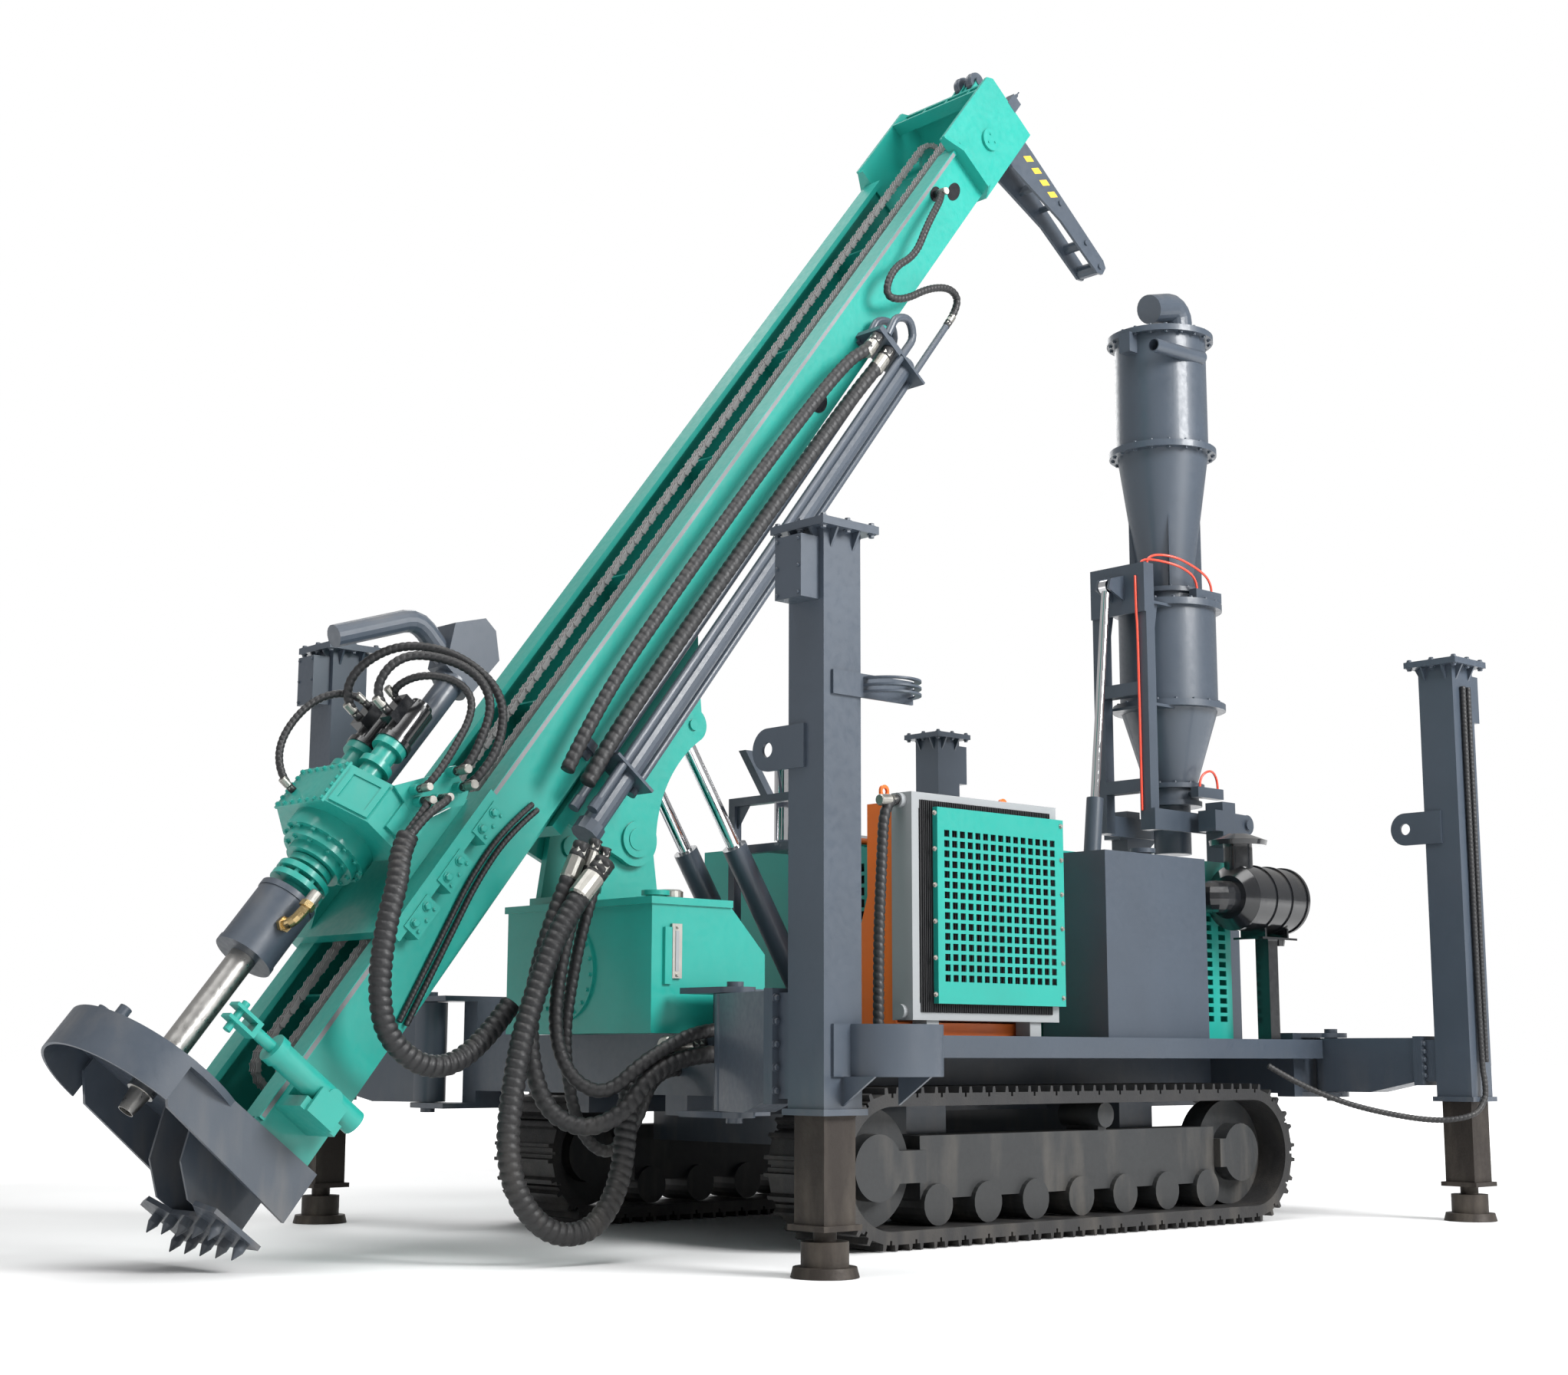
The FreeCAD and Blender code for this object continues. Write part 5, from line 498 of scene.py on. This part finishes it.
AIR_HOSES = (
    (0.007, 0.000, (0, 0), (
        (2.26, -0.362, 3.5183), (2.26, -0.362, 3.59), (2.08, -0.39, 3.64), (1.9, -0.36, 3.69),
        (1.775, -0.27, 3.69), (1.775, -0.27, 3.6353))),
    (0.007, 0.000, (0, 0), (
        (2.12, -0.362, 3.5183), (2.12, -0.362, 3.56), (2.01, -0.4, 3.6), (1.88, -0.37, 3.64),
        (1.745, -0.25, 3.67), (1.745, -0.25, 3.6353))),
    (0.007, 0.000, (0, 0), (
        (2.3, -0.335, 2.3583), (2.3, -0.335, 2.42), (2.22, -0.35, 2.47), (2.13, -0.335, 2.42),
        (2.13, -0.335, 2.3583))),
    (0.007, 0.000, (0, 0), (
        (1.7012, -0.24, 3.56), (1.7012, -0.24, 3.34), (1.7152, -0.24, 3.25), (1.7152, -0.24, 2.2))),
)
# The thick suction hose that hangs lowest of all, dressed here only
SUCTION_HOSE = (
    (0.048, 0.036, (1, 1), (
        (-2.52, -0.754, 1.62), (-2.72, -0.754, 1.4), (-2.86, -0.757, 1.1), (-2.96, -0.762, 0.8),
        (-3.02, -0.78, 0.38), (-2.86, -0.81, 0.13), (-2.62, -0.83, 0.11), (-2.46, -0.83, 0.32),
        (-2.42, -0.8, 0.74), (-2.16, -0.8, 0.86), (-2.022, -0.8, 0.86))),
)


# Columns: skin's name, replaced node, routes, their measure, body and finish
HOSE_SETS = (
    ("mast_hoses_guards", "mast_hoses", MAST_HOSES, mast, "mast", "rubber"),
    ("head_hoses_guards", "head_hoses", HEAD_HOSES, mast, "rotary_head", "rubber"),
    ("deck_hoses_guards", "deck_hoses", DECK_HOSES, rig, "chassis", "rubber"),
    ("leg_hoses_guards", "leg_hoses", LEG_HOSES, rig, "outrigger_rear_left", "rubber"),
    ("air_hoses_guards", "air_hoses", AIR_HOSES, rig, "cyclone", "red"),
    ("suction_hose", None, SUCTION_HOSE, rig, "chassis", "rubber"),
)


def hose_meshes(table, measure):
    """Skins and fittings of one table of hoses."""
    skins, ends = bmesh.new(), bmesh.new()
    for radius, pitch, (start, end), corner_points in table:
        line = route_line([measure(*corner) for corner in corner_points])
        hose_skin(skins, line, radius, pitch)
        for wanted, at, towards in ((start, line[0], line[1]), (end, line[-1], line[-2])):
            if wanted:
                hose_end(ends, at, (towards - at).normalized(), radius)
    return skins, ends


def hoses():
    """All the hoses of the rig, each set's fittings in a piece of its own."""
    for name, node, table, measure, body, finish in HOSE_SETS:
        skins, ends = hose_meshes(table, measure)
        made = piece(name, skins, body, finish)
        for polygon in made.data.polygons:
            polygon.use_smooth = True
        if node:
            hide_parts(node)
        if len(ends.faces):
            piece(name.replace("_guards", "") + "_fittings", ends, body, "zinc")
        else:
            ends.free()


# Feed chains

CHAIN_Y, CHAIN_R, CHAIN_AXIS_T = 0.105, 0.100, -0.140
CHAIN_TOP_S, CHAIN_LOW_S = 4.810, -1.560
CHAIN_PITCH = 0.036
PLATE_HIGH, PLATE_THICK = 0.029, 0.0042
PIN_SIDES = 6
PLATE_AT = (-0.0255, -0.0170, -0.0085, 0.0, 0.0085, 0.0170, 0.0255)
PIN_HALF, PIN_R = 0.0285, 0.0055


def chain_point(distance):
    """Place and direction along the chain's loop, as (s, t) pairs."""
    straight = CHAIN_TOP_S - CHAIN_LOW_S
    turn = math.pi * CHAIN_R
    if distance < straight:
        return (CHAIN_LOW_S + distance, CHAIN_AXIS_T + CHAIN_R), (1.0, 0.0)
    distance -= straight
    if distance < turn:
        a = distance / CHAIN_R
        return ((CHAIN_TOP_S + CHAIN_R * math.sin(a), CHAIN_AXIS_T + CHAIN_R * math.cos(a)),
                (math.cos(a), -math.sin(a)))
    distance -= turn
    if distance < straight:
        return (CHAIN_TOP_S - distance, CHAIN_AXIS_T - CHAIN_R), (-1.0, 0.0)
    a = (distance - straight) / CHAIN_R
    return ((CHAIN_LOW_S - CHAIN_R * math.sin(a), CHAIN_AXIS_T - CHAIN_R * math.cos(a)),
            (-math.cos(a), math.sin(a)))


# Link plate's outline: along the chain in pitches, and height in plate heights
LINK_OUTLINE = ((-0.62, 0.0), (-0.45, 0.5), (-0.12, 0.36), (0.12, 0.36), (0.45, 0.5), (0.62, 0.0),
                (0.45, -0.5), (0.12, -0.36), (-0.12, -0.36), (-0.45, -0.5))


def chain_link(shape, y, middle, way, offset):
    """One link plate of a leaf chain."""
    along = ALONG * way[0] + OUT * way[1]
    up = -ALONG * way[1] + OUT * way[0]
    centre = mast(middle[0], y + offset, middle[1])
    half = ACROSS * (PLATE_THICK / 2)
    flat = [centre + along * (a * CHAIN_PITCH) + up * (b * PLATE_HIGH) for a, b in LINK_OUTLINE]
    loft(shape, [[point - half for point in flat], [point + half for point in flat]])


def feed_chains():
    """Two leaf chains round the mast's sprockets, plate by plate, with their pins."""
    shape = bmesh.new()
    loop = 2 * (CHAIN_TOP_S - CHAIN_LOW_S) + 2 * math.pi * CHAIN_R
    count = 2 * round(loop / CHAIN_PITCH / 2)
    for side in (-1, 1):
        for k in range(count):
            middle, way = chain_point(loop * k / count)
            for row, offset in enumerate(PLATE_AT):
                if (row + k) % 2 == 0:
                    chain_link(shape, side * CHAIN_Y, middle, way, offset)
            joint, _ = chain_point((loop * (k + 0.5) / count) % loop)
            at = mast(joint[0], side * CHAIN_Y - PIN_HALF, joint[1])
            turned(shape, at, ACROSS, ((0.0, PIN_R), (2 * PIN_HALF, PIN_R)), PIN_SIDES)
    made = piece("feed_chain_links", shape, "mast", "chain")
    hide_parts("feed_chains")


# Bolts

UP = Vector((0, 0, 1))
LEFT = Vector((-1, 0, 0))
LEG_HALF = 0.1005          # half of a leg's square tube
CAP_TOP, CAP_UNDERSIDE, CAP_REACH = 2.905, 2.873, 0.132
SEAM, FLANGE_FACE, FLANGE_REACH = 0.095, 0.0253, 0.102
FLANGE_END = 0.03          # from an arm's edge to its flange's first bolt
COVER_FACE, COVER_REACH = 0.098, 0.06
COVER_LOW, COVER_HIGH = 2.605, 2.82
CAP_BOLT, COVER_BOLT = 0.013, 0.007
# Columns: leg, x, y, and the arm's lower and upper edge
LEGS = (
    ("front_left", -2.274, -1.824, 0.66, 1.075),
    ("front_right", -2.274, 1.824, 0.66, 1.075),
    ("rear_left", 2.258, -1.866, 0.70, 0.925),
    ("rear_right", 2.258, 1.866, 0.70, 0.925),
)


def cap_bolts(shape, x, y):
    """Bolts above and below a leg's cap, in a square."""
    for dx in (-CAP_REACH, 0.0, CAP_REACH):
        for dy in (-CAP_REACH, 0.0, CAP_REACH):
            if dx or dy:
                bolt(shape, rig(x + dx, y + dy, CAP_TOP), UP, CAP_BOLT)
                bolt(shape, rig(x + dx, y + dy, CAP_UNDERSIDE), -UP, CAP_BOLT)


def leg_bolts():
    """Cap plates, arm flanges and cover boxes of the four jack legs."""
    for name, x, y, low, high in LEGS:
        shape = bmesh.new()
        cap_bolts(shape, x, y)
        side = math.copysign(1.0, y)
        face = side * (abs(y) - LEG_HALF - SEAM + FLANGE_FACE)
        for dx in (-FLANGE_REACH, FLANGE_REACH):
            bolt_row(shape, rig(x + dx, face, low + FLANGE_END),
                     rig(x + dx, face, high - FLANGE_END), ACROSS * side, 5, CAP_BOLT)
        front = math.copysign(1.0, x)
        cover_x = x + front * (LEG_HALF + COVER_FACE)
        for dy in (-COVER_REACH, COVER_REACH):
            bolt_row(shape, rig(cover_x, y + dy, COVER_LOW), rig(cover_x, y + dy, COVER_HIGH),
                     -LEFT * front, 3, COVER_BOLT)
        piece("bolts_leg_" + name, shape, "outrigger_" + name, "dark_grey")


SPINDLE_T = 0.310          # spindle's axis in front of the rails
MOTOR_Y, MOTOR_T = 0.115, 0.400
CLAMP_Y = 0.408            # outer face of the carriage's clamps
CLAMP_S = (-0.875, -0.627, -0.358)
# Rows in the gearbox lid: ends as (s, y, t) and count
LID_ROWS = (
    ((-0.712, -0.176, 0.530), (-0.528, -0.176, 0.530), 6),
    ((-0.712, 0.176, 0.530), (-0.528, 0.176, 0.530), 6),
    ((-0.712, -0.12, 0.530), (-0.712, 0.12, 0.530), 5),
    ((-0.528, -0.12, 0.530), (-0.528, 0.12, 0.530), 5),
)
LID_BOLT = 0.009
# Rings: s, y, t, direction, radius, count, radius of a head
HEAD_RINGS = (
    (-0.800, 0.0, SPINDLE_T, -ALONG, 0.177, 14, 0.011),
    (-0.840, 0.0, SPINDLE_T, -ALONG, 0.145, 10, 0.010),
    (-0.490, -MOTOR_Y, MOTOR_T, ALONG, 0.063, 8, 0.008),
    (-0.401, -MOTOR_Y, MOTOR_T, -ALONG, 0.063, 8, 0.008),
    (-0.490, MOTOR_Y, MOTOR_T, ALONG, 0.063, 8, 0.008),
    (-0.401, MOTOR_Y, MOTOR_T, -ALONG, 0.063, 8, 0.008),
)
# Rows on each clamp: half length, t, count, radius of a head
CLAMP_ROWS = ((0.045, -0.03, 2, 0.017), (0.06, -0.065, 3, 0.008))


def head_bolts():
    """Gearbox lid, nose rings, motor flanges and carriage clamps of the rotary head."""
    lid, rings = bmesh.new(), bmesh.new()
    for start, end, count in LID_ROWS:
        bolt_row(lid, mast(*start), mast(*end), OUT, count, LID_BOLT)
    for s, y, t, way, radius, count, size in HEAD_RINGS:
        bolt_circle(rings, mast(s, y, t), way, radius, count, size)
    for side in (-1, 1):
        for s in CLAMP_S:
            for half, t, count, size in CLAMP_ROWS:
                y = side * CLAMP_Y
                bolt_row(rings, mast(s - half, y, t), mast(s + half, y, t), ACROSS * side, count,
                         size)
    piece("bolts_head", lid, "rotary_head", "green")
    piece("bolts_head_painted", rings, "rotary_head", "green")


TANK_COVER = (-2.315, -0.2, 1.185)
GRILLE_FACE, GRILLE_EDGES = -1.0525, (-0.845, 0.045)
GRILLE_LOW, GRILLE_HIGH = 1.10, 1.93
HUB_X, HUB_Y, HUB_Z = -1.98, 0.2435, 1.783


def deck_bolts():
    """Tank cover, cooler rim and hub bolts of the fixed body."""
    rim, painted = bmesh.new(), bmesh.new()
    bolt_circle(painted, rig(*TANK_COVER), LEFT, 0.195, 18, 0.0085)
    for x in GRILLE_EDGES:
        bolt_row(rim, rig(x, GRILLE_FACE, GRILLE_LOW), rig(x, GRILLE_FACE, GRILLE_HIGH), -ACROSS, 6,
                 0.009)
    piece("bolts_deck", rim, "chassis", "zinc")
    for side in (-1, 1):
        bolt_circle(painted, rig(HUB_X, side * HUB_Y, HUB_Z), ACROSS * side, 0.098, 8, 0.010)
    piece("bolts_tower", painted, "chassis", "green")


CYCLONE_X, CYCLONE_Y = 2.17, -0.10
# Height, direction, radius of the ring, count, radius of a head
CYCLONE_RINGS = (
    (5.112, UP, 0.296, 20, 0.0105), (4.407, UP, 0.296, 18, 0.0105), (3.458, UP, 0.304, 18, 0.0105),
    (2.860, UP, 0.307, 18, 0.0105), (5.076, -UP, 0.296, 20, 0.0105),
    (4.369, -UP, 0.296, 18, 0.0105), (3.545, UP, 0.206, 12, 0.008), (2.392, UP, 0.176, 12, 0.008),
)


def cyclone_bolts():
    """Rings of bolts in the cyclone's flanges."""
    shape = bmesh.new()
    for z, way, radius, count, size in CYCLONE_RINGS:
        bolt_circle(shape, rig(CYCLONE_X, CYCLONE_Y, z), way, radius, count, size)
    piece("bolts_cyclone", shape, "cyclone", "dark_grey")


# Small pieces

JIB_FACE = -0.2862         # y of the jib's near plate
STRIPES, STRIPE_STEP, STRIPE_THICK = 4, 0.085, 0.0012
STRIPE_TOP, STRIPE_T = 5.088, -0.430
STRIPE_LOW = 5.036


def jib_stripes():
    """Yellow stripes on the jib's near plate."""
    shape = bmesh.new()
    for k in range(STRIPES):
        t = STRIPE_T - STRIPE_STEP * k
        outline = ((STRIPE_TOP, t), (STRIPE_TOP, t - 0.040),
                   (STRIPE_LOW, t - 0.005), (STRIPE_LOW, t + 0.035))
        block(shape, [mast(s, JIB_FACE, t) for s, t in outline], ACROSS, STRIPE_THICK)
    piece("jib_stripes", shape, "jib_arm", "yellow")


CAP_AT = (-1.98, -0.52)
TANK_TOP, CAP_NECK = 1.487, 0.018
CAP_PROFILE = ((0.0, 0.058), (0.004, 0.062), (0.030, 0.062), (0.038, 0.050))
CAP_SIDES = 24
GAUGE_X, GAUGE_Y, GAUGE_Z0, GAUGE_Z1 = -2.175, -0.800, 1.145, 1.375
GAUGE_HALF, WINDOW_HALF, WINDOW_END = 0.027, 0.009, 0.03
GAUGE_BOLT_END = 0.014


def upright(half, z0, z1, y):
    """Corners of an upright rectangle on the tank's side."""
    return [rig(GAUGE_X + dx, y, z) for dx, z in ((-half, z0), (half, z0), (half, z1), (-half, z1))]


def tank_fittings():
    """Level gauge and filler cap of the oil tank."""
    fittings, window = bmesh.new(), bmesh.new()
    turned(fittings, rig(*CAP_AT, TANK_TOP), UP, ((0.0, 0.048), (CAP_NECK, 0.048)), CAP_SIDES)
    turned(fittings, rig(*CAP_AT, TANK_TOP + CAP_NECK), UP, CAP_PROFILE, CAP_SIDES)
    block(fittings, upright(GAUGE_HALF, GAUGE_Z0, GAUGE_Z1, GAUGE_Y + SUNK), -ACROSS, 0.015)
    pane = upright(WINDOW_HALF, GAUGE_Z0 + WINDOW_END, GAUGE_Z1 - WINDOW_END, GAUGE_Y - 0.0135)
    block(window, pane, -ACROSS, 0.003)
    for z in (GAUGE_Z0 + GAUGE_BOLT_END, GAUGE_Z1 - GAUGE_BOLT_END):
        bolt(fittings, rig(GAUGE_X, GAUGE_Y - 0.014, z), -ACROSS, 0.007)
    piece("tank_gauge", fittings, "chassis", "zinc")
    piece("tank_gauge_window", window, "chassis", "light_grey")


# Bare strips on the rails' outer edges
RAIL_EDGE, STRIP_THICK = 0.345, 0.0008
STRIP_OUTLINE = ((-1.90, -0.0225), (4.50, -0.0225), (4.50, -0.0035), (-1.90, -0.0035))
# Pulleys over the crown, and the limit switch behind it
PULLEY_S, PULLEY_T, PULLEY_Y = 5.215, 0.045, (-0.140, -0.050)
PULLEY_PROFILE = ((0.0, 0.054), (0.010, 0.057), (0.017, 0.052), (0.025, 0.052), (0.032, 0.057),
                  (0.042, 0.054))
HUB_EDGES, HUB_PROFILE = (-0.0395, 0.0345), ((0.0, 0.026), (0.005, 0.026))
SWITCH_OUTLINE = ((5.120, -0.172), (5.202, -0.172), (5.202, -0.098), (5.120, -0.098))
SWITCH_Y, SWITCH_DEEP = -0.3395, 0.054
STEM_AT = (5.202, -0.312, -0.13)
STEM_PROFILE = ((0.0, 0.010), (0.045, 0.010), (0.045, 0.004), (0.075, 0.004))
# Black discs on the mast's side holes, painted as the shade inside them: s, t, half length, half
# height
HOLE_SHADES = ((4.345, -0.150, 0.062, 0.040), (4.215, -0.070, 0.050, 0.036),
          (2.640, -0.215, 0.062, 0.048))
HOLE_SHADE_SIDES, HOLE_SHADE_Y, HOLE_SHADE_THICK = 40, -0.3258, 0.0009
# Crown: three bolts on the sprocket's boss, and a row along the lip
BOSS_AT = (4.810, -0.352, -0.140)
LIP_S, LIP_Y, LIP_T0, LIP_T1 = 4.550, -0.365, -0.255, 0.005


def rail_strips():
    """Bare strips where the carriage rubs the rails."""
    shape = bmesh.new()
    for side in (-1, 1):
        block(shape, [mast(s, side * RAIL_EDGE, t) for s, t in STRIP_OUTLINE], ACROSS * side,
              STRIP_THICK)
    piece("mast_rail_strip", shape, "mast", "rail")


def pulleys():
    """Grooved pulleys and the limit switch of the crown."""
    shape = bmesh.new()
    for y in PULLEY_Y:
        turned(shape, mast(PULLEY_S, y - 0.021, PULLEY_T), ACROSS, PULLEY_PROFILE, 32)
        for edge in HUB_EDGES:
            turned(shape, mast(PULLEY_S, y + edge, PULLEY_T), ACROSS, HUB_PROFILE, 18)
    block(shape, [mast(s, SWITCH_Y, t) for s, t in SWITCH_OUTLINE], ACROSS, SWITCH_DEEP)
    turned(shape, mast(*STEM_AT), ALONG, STEM_PROFILE, 10)
    piece("mast_pulleys", shape, "mast", "dark_grey")


def paint_hole_shades():
    """Thin black discs on the mast's side holes, painted as the shade inside them."""
    shape = bmesh.new()
    for s, t, long, high in HOLE_SHADES:
        turns = [2 * math.pi * i / HOLE_SHADE_SIDES for i in range(HOLE_SHADE_SIDES)]
        ring = [mast(s + long * math.cos(a), HOLE_SHADE_Y, t + high * math.sin(a)) for a in turns]
        # each thin black disc is painted shade, standing in for the dark inside of a hole
        block(shape, ring, -ACROSS, HOLE_SHADE_THICK)
    piece("mast_hole_shades", shape, "mast", "black")


def crown_bolts():
    """Bolts of the crown's boss and lip."""
    shape = bmesh.new()
    bolt_circle(shape, mast(*BOSS_AT), -ACROSS, 0.030, 3, 0.006)
    bolt_row(shape, mast(LIP_S, LIP_Y, LIP_T0), mast(LIP_S, LIP_Y, LIP_T1), ALONG, 5, 0.011)
    piece("mast_crown_bolts", shape, "mast", "green")


ELBOW_ROUTE = ((-1.200, -0.127, SPINDLE_T), (-1.200, -0.185, SPINDLE_T),
               (-1.150, -0.210, SPINDLE_T), (-1.090, -0.215, SPINDLE_T))
ELBOW_R = 0.022


def swivel_elbow():
    """Brass elbow that feeds the swivel, and its sleeve."""
    bend, sleeve = bmesh.new(), bmesh.new()
    hose_skin(bend, route_line([mast(*corner) for corner in ELBOW_ROUTE]), ELBOW_R, 0.0)
    turned(bend, mast(*ELBOW_ROUTE[0]), -ACROSS, ((0.0, 0.033), (0.022, 0.033)), HEAD_SIDES)
    turned(bend, mast(-1.120, -0.214, SPINDLE_T), ALONG, ((0.0, 0.032), (0.026, 0.032)), HEAD_SIDES)
    turned(sleeve, mast(-1.094, -0.215, SPINDLE_T), ALONG,
           ((0.0, 0.027), (0.052, 0.027), (0.056, 0.024)), 18)
    piece("swivel_elbow", bend, "spindle", "brass")
    piece("swivel_sleeve", sleeve, "spindle", "zinc")


CORE_FACE, CORE_X0, CORE_X1, CORE_Z0, CORE_Z1 = -1.0105, -0.900, 0.010, 1.020, 1.990
CORE_THICK, FIN_DEEP, FIN_HALF = 0.004, 0.008, 0.002
FINS, FIN_END = 72, 0.012


def core_plate(shape, x0, x1, y, deep):
    """An upright plate of the core, as high as the core."""
    outline = ((x0, CORE_Z0), (x1, CORE_Z0), (x1, CORE_Z1), (x0, CORE_Z1))
    block(shape, [rig(x, y, z) for x, z in outline], -ACROSS, deep)


def radiator_core():
    """Dark finned core seen through the grille's holes."""
    shape = bmesh.new()
    core_plate(shape, CORE_X0, CORE_X1, CORE_FACE, CORE_THICK)
    for k in range(FINS):
        x = CORE_X0 + FIN_END + (CORE_X1 - CORE_X0 - 2 * FIN_END) * k / (FINS - 1)
        core_plate(shape, x - FIN_HALF, x + FIN_HALF, CORE_FACE - CORE_THICK, FIN_DEEP)
    piece("radiator_core", shape, "chassis", "rubber")


# Floor, light and camera

AMBIENT = 0.42             # strength of the light from all round; what the camera sees is white
FLOOR_SIZE, FLOOR_Z = 400.0, -0.002
FLOOR_TONES = ((0.80, 0.80, 0.80), (0.84, 0.84, 0.84))
FADE_START, FADE_END = 6.0, 13.0           # the floor fades to white between these distances
AIM = Vector((0, 0, 2.5))
WHITE = (1.0, 1.0, 1.0, 1.0)
# Columns: lamp, place, size and power
LAMPS = (
    ("key", (4.0, -15.0, 10.0), 7.0, 4200.0),
    ("top", (-4.0, -2.0, 16.0), 10.0, 1500.0),
    ("back", (8.0, 12.0, 12.0), 9.0, 900.0),
)


def floor_finish():
    """Pale matte floor with a faint unevenness, white far away."""
    made = bpy.data.materials.new("pale_floor")
    made.use_nodes = True
    tree = made.node_tree
    shader = tree.nodes["Principled BSDF"]
    tone = spread(tree, noise(tree, 0.6, 2.0), 0.3, 0.7)
    tree.links.new(mix_colour(tree, tone, *FLOOR_TONES), shader.inputs["Base Color"])
    shader.inputs["Roughness"].default_value = 0.85
    place = tree.nodes.new("ShaderNodeTexCoord")
    reach = tree.nodes.new("ShaderNodeVectorMath")
    reach.operation = "LENGTH"
    tree.links.new(place.outputs["Object"], reach.inputs[0])
    shader.inputs["Emission Color"].default_value = WHITE
    fade = spread(tree, reach.outputs["Value"], FADE_START, FADE_END)
    tree.links.new(fade, shader.inputs["Emission Strength"])
    return made


def surroundings():
    """White to the camera, and a softer light from all round."""
    world = bpy.data.worlds.new("studio")
    world.use_nodes = True
    tree = world.node_tree
    background = tree.nodes["Background"]
    background.inputs[0].default_value = WHITE
    seen = tree.nodes.new("ShaderNodeLightPath").outputs["Is Camera Ray"]
    tree.links.new(spread(tree, seen, 0.0, 1.0, AMBIENT, 1.0), background.inputs[1])
    bpy.context.scene.world = world
    bpy.context.scene.view_settings.view_transform = "Standard"


def studio():
    """Pale floor and soft light from the near side, above and behind."""
    bpy.ops.mesh.primitive_plane_add(size=FLOOR_SIZE, location=(0, 0, FLOOR_Z))
    floor = bpy.context.object
    floor.name = "floor"
    floor.data.materials.append(floor_finish())
    for name, place, size, power in LAMPS:
        lamp = bpy.data.lights.new(name, "AREA")
        lamp.size = size
        lamp.energy = power
        holder = bpy.data.objects.new(name, lamp)
        holder.location = place
        holder.rotation_euler = (AIM - Vector(place)).to_track_quat("-Z", "Y").to_euler()
        bpy.context.scene.collection.objects.link(holder)
    surroundings()


# The camera as solved from the photograph
CAMERA_AT = rig(-8.193, -8.047, 0.823)
CAMERA_YAW, CAMERA_PITCH, CAMERA_ROLL = 42.497, 9.477, 0.148
CAMERA_LENS, SENSOR_WIDTH, FARTHEST = 50.68, 36.0, 600.0


def camera():
    """The camera at the photograph's place and angle."""
    eye = bpy.data.cameras.new("photo_camera")
    eye.lens = CAMERA_LENS
    eye.sensor_width = SENSOR_WIDTH
    eye.clip_end = FARTHEST
    holder = bpy.data.objects.new("photo_camera", eye)
    yaw, pitch, roll = (math.radians(v) for v in (CAMERA_YAW, CAMERA_PITCH, CAMERA_ROLL))
    level = Matrix.Rotation(-yaw, 4, "Z") @ Matrix.Rotation(math.pi / 2 + pitch, 4, "X")
    turn = level @ Matrix.Rotation(roll, 4, "Z")
    holder.matrix_world = Matrix.Translation(CAMERA_AT) @ turn
    bpy.context.scene.collection.objects.link(holder)
    bpy.context.scene.camera = holder


camera()
finish_nodes()
hoses()
feed_chains()
leg_bolts()
head_bolts()
deck_bolts()
cyclone_bolts()
jib_stripes()
tank_fittings()
rail_strips()
pulleys()
paint_hole_shades()
crown_bolts()
swivel_elbow()
radiator_core()
studio()
